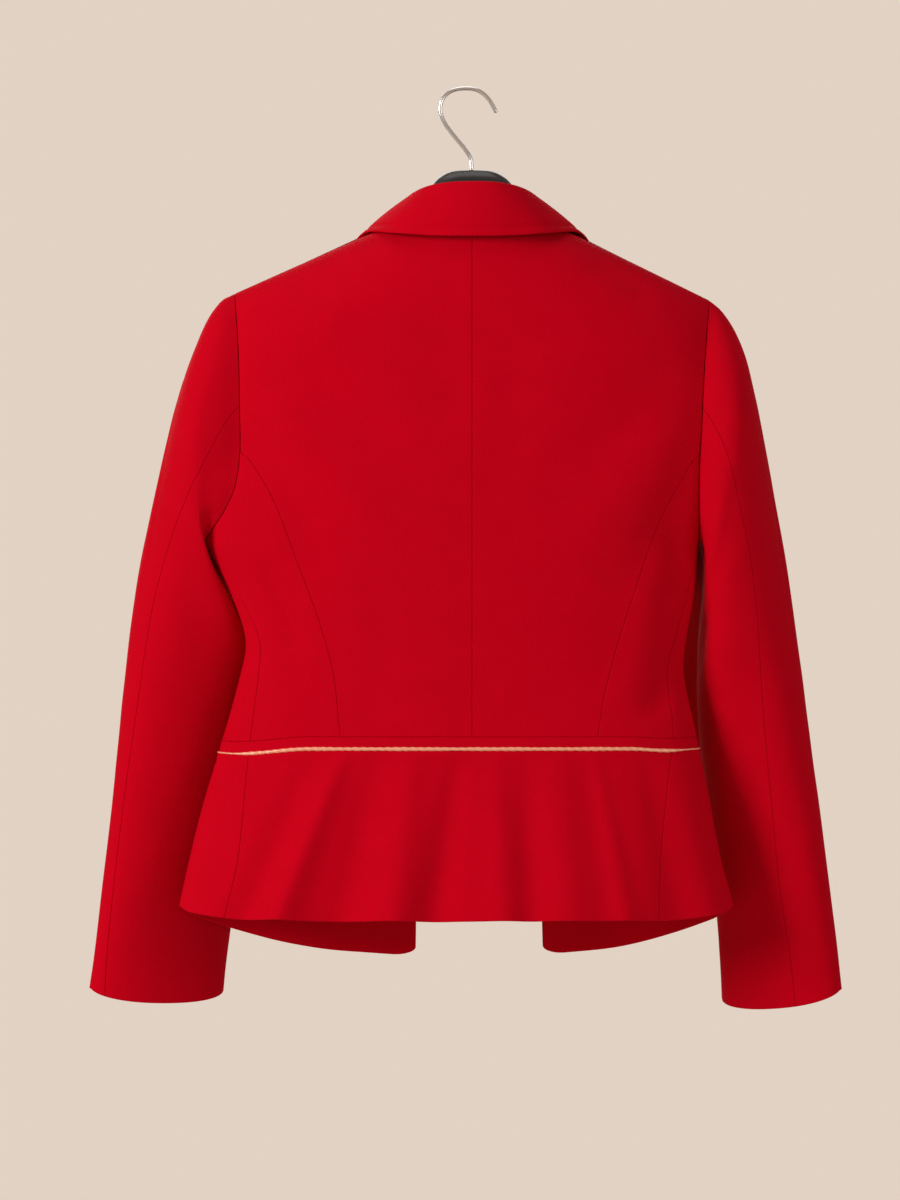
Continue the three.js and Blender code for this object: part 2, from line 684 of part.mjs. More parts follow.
const signedPower = (value) => Math.sign(value) * Math.abs(value) ** (2 / SLEEVE_FULLNESS);

// The armhole's edge, from the shoulder tip at 0 down the back to the underarm at 180 degrees.
function armholePoint(side, angle) {
  const { tip } = SIDES[side];
  const middle = (tip.z + UNDERARM_Z) / 2;
  const z = middle + ((tip.z - UNDERARM_Z) / 2) * Math.cos(angle);
  const face = Math.sin(angle) >= 0 ? 'back' : 'front';
  return bodyPoint(side, armholeAngle(side, face, z), z);
}

function sleeveSection(side, station) {
  const read = (column) => byStation(SLEEVE[side], column, station);
  const { sign } = SIDES[side];
  const outer = new THREE.Vector3(sign * read('outX'), read('outY'), read('outZ'));
  const inner = new THREE.Vector3(sign * read('inX'), read('inY'), read('inZ'));
  const across = outer.clone().sub(inner).multiplyScalar(0.5);
  const back = new THREE.Vector3(0, 1, 0).projectOnPlane(across.clone().normalize());
  return { middle: outer.add(inner).multiplyScalar(0.5), across, back: back.setLength(read('depth')) };
}

// A point of a plain section: its angle runs from the outer end round the back.
function sectionPoint(side, station, angle) {
  const { middle, across, back } = sleeveSection(side, station);
  const p = middle
    .addScaledVector(across, signedPower(Math.cos(angle)))
    .addScaledVector(back, signedPower(Math.sin(angle)));
  const inFront = Math.sin(angle) < 0 ? Math.max(Math.sin(2 * angle), 0) : 0;
  p.x -= SIDES[side].sign * byStation(SLEEVE[side], 'lap', station) * inFront;
  return p;
}

// A point of the sleeve, which starts on the armhole and eases into its plain sections.
function sleevePoint(side, station, angle) {
  const p = sectionPoint(side, station, angle);
  p.z -= CUFF_DROP * (station / SLEEVE_STATIONS) ** 6 * Math.max(Math.sin(angle), 0);
  const rest = clamp(1 - station / SHOULDER_BLEND_STATIONS, 0, 1) ** 2;
  if (rest === 0) return p;
  const toArmhole = armholePoint(side, angle).sub(sectionPoint(side, 0, angle));
  return p.addScaledVector(toArmhole, rest);
}

function sleeveNormal(side, station, angle) {
  const nearby = 0.02;
  const above = sleevePoint(side, Math.max(station - nearby, 0), angle);
  const below = sleevePoint(side, Math.min(station + nearby, SLEEVE_STATIONS), angle);
  const before = sleevePoint(side, station, angle - nearby);
  const after = sleevePoint(side, station, angle + nearby);
  const round = after.sub(before);
  return round.cross(below.sub(above)).normalize().multiplyScalar(-SIDES[side].sign);
}

function sleevePanel(side, columns, from, to) {
  const place = (u, v) => {
    const station = lerp(SLEEVE_START, SLEEVE_STATIONS, v);
    return [station, lerp(from(station), to(station), u)];
  };
  const point = (u, v) => sleevePoint(side, ...place(u, v));
  const normal = (p, u, v) => sleeveNormal(side, ...place(u, v));
  return wall(columns, SLEEVE_ROWS, point, normal);
}

const elbowAngle = (side) => (station) => degToRad(byStation(SLEEVE[side], 'elbow', station));

function topSleeve(side) {
  return sleevePanel(side, 14, () => FRONT_SLEEVE_SEAM[side] - 2 * Math.PI, elbowAngle(side));
}

function underSleeve(side) {
  return sleevePanel(side, 10, elbowAngle(side), () => FRONT_SLEEVE_SEAM[side]);
}

// ---- hanger ----
function hanger() {
  const sides = 12;
  const stations = [];
  for (let row = HANGER_ARM.length - 1; row > 0; row -= 1) stations.push([-1, HANGER_ARM[row]]);
  HANGER_ARM.forEach((section) => stations.push([1, section]));
  const rings = stations.map(([sign, { x, top, height, depth }]) =>
    Array.from({ length: sides }, (_, side) => {
      const angle = (side / sides) * 2 * Math.PI;
      const y = depth * signedPower(Math.sin(angle));
      return new THREE.Vector3(sign * x, y, top - height + height * signedPower(Math.cos(angle)));
    }),
  );
  return loft(rings);
}

// A closed body through rings of points, with flat ends.
function loft(rings) {
  const sides = rings[0].length;
  const middleOf = (ring) =>
    ring.reduce((sum, p) => sum.add(p), new THREE.Vector3()).divideScalar(sides);
  const points = [...rings.flat(), middleOf(rings[0]), middleOf(rings[rings.length - 1])];
  const index = [];
  for (let ring = 0; ring < rings.length - 1; ring += 1) {
    for (let side = 0; side < sides; side += 1) {
      const next = (side + 1) % sides;
      const [a, b] = [ring * sides + side, ring * sides + next];
      index.push(a, b, b + sides, a, b + sides, a + sides);
    }
  }
  const lastRing = (rings.length - 1) * sides;
  for (let side = 0; side < sides; side += 1) {
    const next = (side + 1) % sides;
    index.push(points.length - 2, next, side);
    index.push(points.length - 1, lastRing + side, lastRing + next);
  }
  const geometry = new THREE.BufferGeometry();
  geometry.setAttribute(
    'position',
    new THREE.Float32BufferAttribute(points.flatMap((p) => [p.x, p.y, p.z]), 3),
  );
  geometry.setIndex(index);
  return facingOut(geometry);
}

function hook() {
  const route = HOOK_ROUTE.map(({ x, z }) => new THREE.Vector3(x, 0, z));
  return tube(route, WIRE_DIAMETER, 40, 8);
}

// ---- the blazer ----
const CLOTH_FINISH = { color: 0xb80014, roughness: 0.9, metalness: 0 };
const PIPING_FINISH = { color: 0xd9a866, roughness: 0.45, metalness: 0.6 };
const HANGER_FINISH = { color: 0x101114, roughness: 0.35, metalness: 0 };
const HOOK_FINISH = { color: 0xc9ccd0, roughness: 0.2, metalness: 1 };

const blazer = new THREE.Group();

function add(name, geometry, finish) {
  const mesh = new THREE.Mesh(geometry, new THREE.MeshStandardMaterial(finish));
  mesh.name = name;
  blazer.add(mesh);
}

for (const side of ['left', 'right']) {
  add(`back_${side}`, backPanel(side), CLOTH_FINISH);
  add(`side_back_${side}`, sideBackPanel(side), CLOTH_FINISH);
  add(`front_${side}`, frontPanel(side), CLOTH_FINISH);
  add(`lapel_${side}`, lapel(side), CLOTH_FINISH);
  add(`sleeve_top_${side}`, topSleeve(side), CLOTH_FINISH);
  add(`sleeve_under_${side}`, underSleeve(side), CLOTH_FINISH);
  add(`peplum_front_${side}`, peplumFront(side), CLOTH_FINISH);
}
add('collar', collar(), CLOTH_FINISH);
add('waistband', waistband(), CLOTH_FINISH);
add('piping', piping(), PIPING_FINISH);
add('peplum_back', peplumBack(), CLOTH_FINISH);
add('hanger', hanger(), HANGER_FINISH);
add('hook', hook(), HOOK_FINISH);

export default blazer;
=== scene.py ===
"""A red peplum blazer on its hanger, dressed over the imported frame.

Garment sizes are in millimetres, as its pattern would give them, and MM turns them into metres.
+X is the wearer's left, +Y the wearer's back and +Z up.
"""
import math

import bpy
import numpy as np
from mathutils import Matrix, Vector


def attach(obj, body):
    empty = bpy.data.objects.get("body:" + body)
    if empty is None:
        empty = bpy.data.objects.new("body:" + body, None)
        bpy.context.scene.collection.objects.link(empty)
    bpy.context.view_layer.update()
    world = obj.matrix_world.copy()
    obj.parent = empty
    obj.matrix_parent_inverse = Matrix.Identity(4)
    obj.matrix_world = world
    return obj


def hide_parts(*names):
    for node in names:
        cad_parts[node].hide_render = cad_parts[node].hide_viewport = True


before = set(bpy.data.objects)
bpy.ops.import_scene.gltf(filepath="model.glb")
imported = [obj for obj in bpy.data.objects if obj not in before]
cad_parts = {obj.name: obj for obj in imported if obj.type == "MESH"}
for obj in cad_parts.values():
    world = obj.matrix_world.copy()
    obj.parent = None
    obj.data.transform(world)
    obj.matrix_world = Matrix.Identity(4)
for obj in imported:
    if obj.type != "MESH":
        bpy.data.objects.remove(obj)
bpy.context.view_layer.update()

MM = 0.001
CLOTH = 1.8  # thickness of one layer
FULLNESS = 2.4  # exponent of a body section
SLEEVE_FULLNESS = 2.2
SHOULDER_ROUNDING = 80.0
NECK_ROUNDING = 30.0
UNDERARM_Z = -388.0
WAISTBAND_TOP_Z = -555.0
PIPING_Z = -565.4
PIPING_DIAMETER = 3.5
PIPING_OUT = 2.2
WAISTBAND_BOTTOM_Z = PIPING_Z + 0.05
PEPLUM_TOP_Z = PIPING_Z - 0.05
PEPLUM_LENGTH = 150.0
NECK_DIP = 3.5
WIRE_DIAMETER = 3.7
ARMHOLE_ROWS = 12
PRINCESS_ROW = 7
PRINCESS_BLEND = 10.0  # height over which the curved back seam leaves the armhole
FRONT_SLEEVE_SEAM = {"left": math.radians(240), "right": math.radians(262)}
SIGN = {"left": 1, "right": -1}
NECK = {"x": 68.0, "z": -115.0}
TIP = {"left": (204.0, -174.6), "right": (204.3, -180.6)}

# ---- the garment's measures, a row for each height ----
BODY = dict(
    z=[-80, -175, -240, -305, -345, -388, -410, -435, -472, -500, -555, -610, -660, -705, -755],
    left=[205, 214, 221, 227, 231, 230, 219, 206, 194.5, 199, 215, 230.5, 243, 253, 262],
    right=[204, 212, 215, 214, 209, 196, 193.5, 191, 184, 182, 193, 204, 214, 226, 236],
    back=[57, 61, 62, 62, 61, 59, 57.5, 55, 51, 49, 48, 54, 61, 67, 72],
    front=[46, 54, 58, 62, 63.5, 64, 62.5, 60.5, 57, 55, 53, 58, 64, 70, 75],
)
ARMHOLE = {
    "left": dict(
        z=[-174.6, -217, -272, -309, -341, -363, -379, -388],
        back=[204, 200.7, 198.8, 199, 203, 213, 224, 230],
        front=[204, 195, 187, 186, 191, 204, 220, 230],
    ),
    "right": dict(
        z=[-180.6, -217, -270, -312, -345, -363, -379, -388],
        back=[204.3, 200.5, 197, 195.4, 195, 195, 195.5, 196],
        front=[204.3, 195, 187, 185, 186.5, 189.5, 193.5, 196],
    ),
}
PRINCESS = {
    "left": dict(
        z=[-300, -309, -351, -402, -453, -498, -555],
        x=[201.4, 196.5, 171, 151, 132, 119.5, 112.5],
    ),
    "right": dict(
        z=[-300, -311, -366, -427, -476, -518, -555],
        x=[195.5, 193.2, 163.5, 140.5, 124.5, 113.5, 107.5],
    ),
}
SIDE_SEAM = {
    "left": dict(
        z=[-388, -410, -455, -555, -656, -715],
        share=[1, 0.985, 0.95, 0.885, 0.826, 0.84],
    ),
    "right": dict(
        z=[-388, -410, -455, -555, -583, -664, -715],
        share=[1, 0.985, 0.955, 0.895, 0.85, 0.755, 0.7],
    ),
}
FRONT_EDGE = {
    "left": dict(
        z=[-115, -150, -200, -300, -400, -480, -555, -755],
        x=[68, 66, 62, 52, 44, 44, 46, 49],
    ),
    "right": dict(
        z=[-115, -150, -200, -300, -400, -480, -555, -755],
        x=[68, 66, 64, 57, 52, 53, 56, 62],
    ),
}
HEM = dict(around=[0, 45, 70, 90, 120, 150, 180], z=[-712, -711, -706, -701, -716, -738, -750])
ROWS_BELOW_UNDERARM = [-388, -400, -414, -432, -452, -474, -500, -528, -555]

SLEEVE = {
    "left": dict(
        out_x=[204, 216, 228, 240, 250.5, 262, 271, 279, 286, 293, 300, 308, 316.5, 326, 330],
        out_y=[0, 0, 0, 0, 0, -2, -4, -8, -12, -16, -20, -25, -30, -36, -38],
        out_z=[-174.6, -181, -198, -227, -257, -300, -344, -388, -432, -484, -545, -610, -678, -747, -774],
        in_x=[230, 231, 231, 230, 226, 217, 206, 196, 190, 190, 194, 200, 207, 214, 217],
        in_y=[0, -1, -4, -10, -19, -31, -45, -60, -72, -80, -85, -87, -89, -90, -90],
        in_z=[-388, -391, -395, -401, -410, -424, -440, -458, -484, -520, -568, -622, -684, -744, -776],
        depth=[37, 41, 44, 47, 49, 50, 49, 47, 44, 40, 36, 31, 27, 23, 22],
        elbow=[85, 92, 97, 96, 88, 71, 49, 33, 24, 21, 19, 18, 20, 27, 32],
        lap=[0, 2, 8, 16, 22, 20, 14, 9, 5, 3, 1, 0, 0, 0, 0],
    ),
    "right": dict(
        out_x=[204.3, 215, 226, 235.5, 243, 251, 259, 266, 273, 280, 288, 297, 306, 315, 318.5],
        out_y=[0, 0, 0, 0, 0, -2, -4, -7, -10, -14, -18, -22, -27, -32, -34],
        out_z=[-180.6, -190, -207, -231, -262, -300, -344, -388, -440, -490, -548, -610, -678, -748, -775],
        in_x=[196, 197.5, 198.5, 199, 199, 198.5, 198, 197, 196, 197.5, 201, 207, 212, 217, 218.5],
        in_y=[0, 0, -1, -4, -9, -17, -26, -35, -43, -51, -59, -67, -75, -80, -82],
        in_z=[-388, -391, -396, -403, -414, -428, -444, -462, -490, -524, -568, -622, -684, -748, -783],
        depth=[37, 41, 44, 47, 49, 50, 49, 47, 44, 40, 36, 31, 27, 23, 22],
        elbow=[84, 87, 88, 87, 84, 79, 71, 63, 58, 60, 63, 67, 70, 69, 69],
        lap=[0, 2, 8, 16, 20, 22, 24, 26, 31, 37, 35, 23, 8, 0, 0],
    ),
}
STATIONS = 14
SHOULDER_BLEND_STATIONS = 4
CUFF_DROP = 12.0

# Collar sections from the centre back to the front end: seam, fold and outer edge.
COLLAR_SEAM = [
    (0, 46, -111), (28, 41, -111), (50, 27, -111.5), (63, 4, -113),
    (64, -22, -119), (62, -39, -134), (61, -44, -148), (61, -47, -158),
]
COLLAR_FOLD = [
    (0, 49, -81), (23, 45, -82), (41, 30, -86), (51, 4, -93),
    (55, -25, -103), (57, -44, -122), (58, -50, -142), (60, -53.5, -156),
]
COLLAR_EDGE = [
    (0, 62.5, -127.6), (36, 58, -127), (68, 44, -124.2), (90.5, 5, -121.8),
    (101, -22, -130), (104, -39, -147), (101, -46.5, -160), (96, -51.5, -170),
]
COLLAR_FOLD_RADIUS = 3.5
LAPEL = dict(
    top_z=-166, tip_out=68, tip_z=-190, end_out=3, end_z=-400, belly=6, roll=2.4, lift=2.5, puff=1.5
)

HOOK_ROUTE = [
    (0.5, -67.6), (1.5, -58), (7.5, -48.5), (17, -37), (24.5, -26), (27.5, -16),
    (25, -6.5), (17.5, 0), (6, 2), (-5, 0.3), (-14, -7), (-21, -19),
]

# ---- interpolation ----


def smooth_step(value, low, high):
    share = np.clip((value - low) / (high - low), 0, 1)
    return share * share * (3 - 2 * share)


def along(keys, values, at):
    """The value at one place along a table, on a smooth curve through its rows."""
    keys = np.asarray(keys, float)
    values = np.asarray(values, float)
    if keys[-1] < keys[0]:
        keys, values = keys[::-1], values[::-1]
    at = np.clip(np.asarray(at, float), keys[0], keys[-1])
    last = len(keys) - 1
    low = np.clip(np.searchsorted(keys, at, side="right") - 1, 0, last - 1)
    before, high, after = np.maximum(low - 1, 0), low + 1, np.minimum(low + 2, last)
    span = keys[high] - keys[low]
    share = (at - keys[low]) / span
    leave = (values[high] - values[before]) / (keys[high] - keys[before]) * span
    arrive = (values[after] - values[low]) / (keys[after] - keys[low]) * span
    rest = 1 - share
    return (
        values[low] * rest * rest * (1 + 2 * share)
        + values[high] * share * share * (3 - 2 * share)
        + leave * share * rest * rest
        - arrive * share * share * rest
    )


def lerp(a, b, share):
    return a + (b - a) * share


def unit(vectors):
    length = np.linalg.norm(vectors, axis=-1, keepdims=True)
    return vectors / np.maximum(length, 1e-9)


def point(x, y, z):
    return np.stack(np.broadcast_arrays(x, y, z), axis=-1).astype(float)


# ---- the body's surface; side is +1 on the wearer's left and -1 on the right ----


def half_width(z, side):
    left = along(BODY["z"], BODY["left"], z)
    right = along(BODY["z"], BODY["right"], z)
    return np.where(np.asarray(side) > 0, left, right)


def body_depth(z, on_back):
    return np.where(
        on_back, along(BODY["z"], BODY["back"], z), along(BODY["z"], BODY["front"], z)
    )


def shoulder_z(x):
    slopes = {}
    for name, (tip_x, tip_z) in TIP.items():
        run = math.hypot(tip_x, NECK_ROUNDING) - math.hypot(NECK["x"], NECK_ROUNDING)
        slopes[name] = (tip_z - NECK["z"]) / run
    slope = lerp(slopes["right"], slopes["left"], smooth_step(x, -NECK["x"], NECK["x"]))
    run = np.hypot(x, NECK_ROUNDING) - math.hypot(NECK["x"], NECK_ROUNDING)
    return NECK["z"] + slope * run


def shoulder_share(x, z):
    above = np.clip(1 - (shoulder_z(x) - z) / SHOULDER_ROUNDING, 0, 2)
    return 1 - above**FULLNESS


def body_field(x, y, z):
    width = np.abs(x) / half_width(z, np.sign(x))
    depth = np.abs(y) / body_depth(z, y >= 0)
    return depth**FULLNESS - (1 - width**FULLNESS) * shoulder_share(x, z)


def body_normal(p):
    x, y, z = p[..., 0], p[..., 1], p[..., 2]
    step = 0.2
    slope = point(
        body_field(x + step, y, z) - body_field(x - step, y, z),
        body_field(x, y + step, z) - body_field(x, y - step, z),
        body_field(x, y, z + step) - body_field(x, y, z - step),
    )
    return unit(slope)


def body_point(side, around, z):
    """The surface point at an angle round the body, 0 at the centre back and pi at the front."""
    x = side * half_width(z, side) * np.maximum(np.sin(around), 0) ** (2 / FULLNESS)
    face = np.cos(around)
    share = np.maximum(shoulder_share(x, z), 0) ** (1 / FULLNESS)
    depth = body_depth(z, face >= 0)
    y = np.sign(face) * depth * np.abs(face) ** (2 / FULLNESS) * share
    return point(x, y, z)


def angle_at(side, x, z, on_back):
    share = np.clip(x / half_width(z, side), 0, 1)
    angle = np.arcsin(share ** (FULLNESS / 2))
    return angle if on_back else math.pi - angle


def side_seam_angle(name, z):
    share = along(SIDE_SEAM[name]["z"], SIDE_SEAM[name]["share"], z)
    return angle_at(SIGN[name], share * half_width(z, SIGN[name]), z, True)


def armhole_angle(name, face, z):
    x = along(ARMHOLE[name]["z"], ARMHOLE[name][face], z)
    return angle_at(SIGN[name], x, z, face == "back")


def front_edge_angle(name, z):
    x = along(FRONT_EDGE[name]["z"], FRONT_EDGE[name]["x"], z)
    return angle_at(SIGN[name], x, z, False)


def princess_angle(name, z):
    """The curved back seam, which leaves the armhole at its own row."""
    top = row_z(name, PRINCESS_ROW)
    seam = along(PRINCESS[name]["z"], PRINCESS[name]["x"], z)
    armhole = along(ARMHOLE[name]["z"], ARMHOLE[name]["back"], z)
    x = lerp(armhole, seam, smooth_step(top - z, 0, PRINCESS_BLEND))
    return angle_at(SIGN[name], x, z, True)


def row_z(name, row):
    """Height of a row where it meets the armhole or, below the underarm, all the way across."""
    row = np.asarray(row, float)
    tip_z = TIP[name][1]
    middle, reach = (tip_z + UNDERARM_Z) / 2, (tip_z - UNDERARM_Z) / 2
    upper = middle + reach * np.cos(np.clip(row, 0, ARMHOLE_ROWS) / ARMHOLE_ROWS * math.pi)
    steps = np.arange(len(ROWS_BELOW_UNDERARM))
    lower = np.interp(row - ARMHOLE_ROWS, steps, ROWS_BELOW_UNDERARM)
    return np.where(row <= ARMHOLE_ROWS, upper, lower)


# ---- soft folds in the cloth ----
# Each fold runs from (x, z) to (x, z); width is its spread and out its height, minus for a trough.
BODY_FOLDS = [
    # back, from the armholes towards the centre of the waist
    dict(back=True, start=(196, -300), end=(120, -430), width=17, out=-2.7),
    dict(back=True, start=(190, -262), end=(70, -400), width=26, out=2.2),
    dict(back=True, start=(178, -222), end=(60, -330), width=24, out=-2.0),
    dict(back=True, start=(-192, -300), end=(-128, -430), width=17, out=-2.7),
    dict(back=True, start=(-186, -262), end=(-76, -400), width=26, out=2.4),
    dict(back=True, start=(-175, -226), end=(-60, -340), width=24, out=-2.2),
    # hollows above the waist and across the shoulder blades
    dict(back=True, start=(150, -500), end=(60, -540), width=18, out=-2.0),
    dict(back=True, start=(-176, -372), end=(-166, -452), width=12, out=-4.1),
    dict(back=True, start=(-170, -476), end=(-148, -545), width=12, out=-3.1),
    dict(back=True, start=(-150, -420), end=(-120, -540), width=15, out=2.0),
    dict(back=True, start=(176, -400), end=(150, -520), width=14, out=-2.4),
    dict(back=True, start=(30, -210), end=(24, -330), width=20, out=-1.2),
    dict(back=True, start=(-28, -200), end=(-20, -360), width=22, out=-1.4),
    dict(back=True, start=(100, -150), end=(160, -176), width=13, out=-1.5),
    dict(back=True, start=(-96, -150), end=(-160, -182), width=13, out=-1.7),
    # fronts
    dict(back=False, start=(184, -300), end=(90, -420), width=20, out=-2.0),
    dict(back=False, start=(180, -255), end=(96, -380), width=24, out=1.8),
    dict(back=False, start=(170, -400), end=(130, -530), width=18, out=-1.8),
    dict(back=False, start=(100, -450), end=(84, -548), width=16, out=1.5),
    dict(back=False, start=(-184, -300), end=(-98, -430), width=20, out=-2.2),
    dict(back=False, start=(-178, -258), end=(-100, -380), width=24, out=1.8),
    dict(back=False, start=(-160, -410), end=(-128, -530), width=18, out=-1.7),
    dict(back=False, start=(-104, -440), end=(-90, -548), width=15, out=1.6),
]
# Folds that fan out down the peplum, given by where they stand at the waist and at the hem.
PEPLUM_FOLDS = [
    dict(back=True, waist=109, hem=168, width=14, out=13.0),
    dict(back=True, waist=136, hem=200, width=15, out=-6),
    dict(back=True, waist=80, hem=112, width=18, out=-7),
    dict(back=True, waist=50, hem=68, width=17, out=7),
    dict(back=True, waist=11, hem=32, width=16, out=-9),
    dict(back=True, waist=-20, hem=-27, width=15, out=6),
    dict(back=True, waist=-46, hem=-52, width=13, out=-4),
    dict(back=True, waist=-73, hem=-83, width=20, out=7),
    dict(back=True, waist=-104, hem=-132, width=10, out=4.5),
    dict(back=True, waist=-150, hem=-180, width=18, out=-7),
    dict(back=False, waist=140, hem=190, width=18, out=4),
    dict(back=False, waist=95, hem=120, width=18, out=-4),
    dict(back=False, waist=-140, hem=-165, width=18, out=4),
    dict(back=False, waist=-98, hem=-118, width=18, out=-3.5),
]
# Sleeve folds, given by station and by the angle round the sleeve in degrees.
SLEEVE_FOLDS = {
    "left": [
        dict(start=(0.3, 156), end=(4.0, 146), width=0.11, out=-3.0),
        dict(start=(5.8, 112), end=(10.5, 116), width=0.20, out=3.2),
        dict(start=(5.0, 70), end=(9.5, 100), width=0.26, out=-2.0),
        dict(start=(6.5, 100), end=(9.0, 160), width=0.24, out=2.2),
        dict(start=(8.5, 95), end=(11.5, 60), width=0.22, out=-1.5),
        dict(start=(9.5, 130), end=(13.0, 110), width=0.24, out=1.6),
        dict(start=(3.0, 20), end=(9.0, 10), width=0.30, out=-1.2),
        dict(start=(6.5, 300), end=(9.0, 240), width=0.24, out=-3.0),
        dict(start=(7.6, 290), end=(9.8, 235), width=0.20, out=2.4),
        dict(start=(9.0, 300), end=(10.5, 230), width=0.22, out=-2.0),
        dict(start=(2.0, 285), end=(5.5, 235), width=0.24, out=-3.0),
    ],
    "right": [
        dict(start=(1.0, 120), end=(5.6, 132), width=0.26, out=2.2),
        dict(start=(5.8, 108), end=(11.8, 116), width=0.20, out=5.0),
        dict(start=(6.4, 128), end=(8.8, 160), width=0.18, out=-2.0),
        dict(start=(8.4, 110), end=(12.0, 120), width=0.26, out=-1.6),
        dict(start=(4.0, 40), end=(10.0, 44), width=0.34, out=-1.4),
        dict(start=(9.5, 60), end=(13.6, 52), width=0.26, out=1.2),
        dict(start=(6.5, 300), end=(9.0, 240), width=0.24, out=-3.0),
        dict(start=(7.6, 290), end=(9.8, 235), width=0.20, out=2.4),
        dict(start=(9.0, 300), end=(10.5, 230), width=0.22, out=-2.0),
        dict(start=(2.0, 285), end=(5.5, 235), width=0.24, out=-3.0),
    ],
}


def fold_height(a, b, fold, stretch=1.0):
    """The height of one fold at (a, b), a soft ridge or trough that fades at both of its ends."""
    (start_a, start_b), (end_a, end_b) = fold["start"], fold["end"]
    run_a, run_b = (end_a - start_a) * stretch, end_b - start_b
    length = math.hypot(run_a, run_b)
    from_a, from_b = (a - start_a) * stretch, b - start_b
    share = (from_a * run_a + from_b * run_b) / length**2
    off = (from_a * run_b - from_b * run_a) / length
    fade = np.exp(-(((share - 0.45) / 0.42) ** 4))
    bend = fold["width"] * 0.5 * np.sin(math.pi * np.clip(share, 0, 1))
    return fold["out"] * np.exp(-(((off - bend) / fold["width"]) ** 2)) * fade


def unevenness(p, size=1.0):
    """The slight waviness that no pressing takes out of cloth."""
    x, y, z = p[..., 0], p[..., 1], p[..., 2]
    long_wave = np.sin(x / 37 + 1.3 * np.sin(z / 61)) * np.sin(z / 53 + 0.7 * np.sin(x / 71) + y / 40)
    short_wave = np.sin(x / 17 + z / 29 + 2 * np.sin(z / 43)) * np.sin(z / 23 - x / 31 + y / 19)
    return size * (0.45 * long_wave + 0.16 * short_wave)


# How far from the sides, the waist and the shoulder line the body's folds fade in.
CALM_SIDE = 22
CALM_WAIST = 25
CALM_NECK = 18


def body_fold(p):
    x, y, z = p[..., 0], p[..., 1], p[..., 2]
    height = unevenness(p)
    for fold in BODY_FOLDS:
        mine = (y >= 0) if fold["back"] else (y < 0)
        height = height + np.where(mine, fold_height(x, z, fold), 0) * smooth_step(np.abs(y), 0, CALM_SIDE)
    near_waist = smooth_step(z, WAISTBAND_TOP_Z, WAISTBAND_TOP_Z + CALM_WAIST)
    near_neck = smooth_step(shoulder_z(x) - z, 0, CALM_NECK)
    return height * near_waist * near_neck


def peplum_fold(p):
    x, y, z = p[..., 0], p[..., 1], p[..., 2]
    fall = np.clip((PEPLUM_TOP_Z - z) / PEPLUM_LENGTH, 0, 1.2)
    height = unevenness(p, 0.8) * smooth_step(fall, 0, 0.3)
    for fold in PEPLUM_FOLDS:
        mine = (y >= 0) if fold["back"] else (y < 0)
        centre = lerp(fold["waist"], fold["hem"], fall)
        spread = fold["width"] * (0.6 + 0.6 * fall)
        ridge = fold["out"] * fall**0.7 * np.exp(-(((x - centre) / spread) ** 2))
        height = height + np.where(mine, ridge, 0)
    return height


# The waist seam hangs a little lower towards the sides of the back.
WAIST_DIPS = [dict(x=200, width=62, drop=4.4), dict(x=-168, width=34, drop=1.6)]
DIP_REACH = 60  # how far from the seam the cloth still goes down with it
DIP_START_Y = -30  # the dips fade in from here to the middle of the sides


def settle(p):
    """Lets the cloth round the waist seam down where the seam dips."""
    near_waist = np.exp(-(((p[..., 2] - PIPING_Z) / DIP_REACH) ** 2))
    for dip in WAIST_DIPS:
        share = np.clip(1 - np.abs(p[..., 0] - dip["x"]) / dip["width"], 0, 1)
        drop = dip["drop"] * share * share * (3 - 2 * share) * near_waist
        p[..., 2] -= drop * smooth_step(p[..., 1], DIP_START_Y, 0)
    return p


# ---- shells of cloth ----


def grid_slopes(p):
    """Unit normals of a grid of points, by its neighbours along both ways."""
    across = np.gradient(p, axis=1)
    down = np.gradient(p, axis=0)
    return unit(np.cross(across, down))


def edge_distances(p):
    """How far each point of the grid is from its left, right, top and bottom edges."""
    across = np.linalg.norm(np.diff(p, axis=1), axis=-1)
    down = np.linalg.norm(np.diff(p, axis=0), axis=-1)
    left = np.concatenate([np.zeros((p.shape[0], 1)), np.cumsum(across, axis=1)], axis=1)
    top = np.concatenate([np.zeros((1, p.shape[1])), np.cumsum(down, axis=0)], axis=0)
    return dict(left=left, right=left[:, -1:] - left, top=top, bottom=top[-1:] - top)


def round_off(distance, radius):
    """How far a face drops towards an edge that is rounded over."""
    inside = np.clip(1 - distance / radius, 0, 1)
    return radius * (1 - np.sqrt(1 - inside**2))


EDGE_STEPS = [0, 0.1, 0.3, 0.65, 1.1, 1.8, 3.0, 5.0]


def shares(length, step):
    """Places along a length as shares of it, close together at both ends."""
    near = np.array(EDGE_STEPS) / length
    count = max(int((length - 2 * EDGE_STEPS[-1]) / step), 2)
    middle = np.linspace(near[-1], 1 - near[-1], count + 1)[1:-1]
    return np.concatenate([near, middle, 1 - near[::-1]])


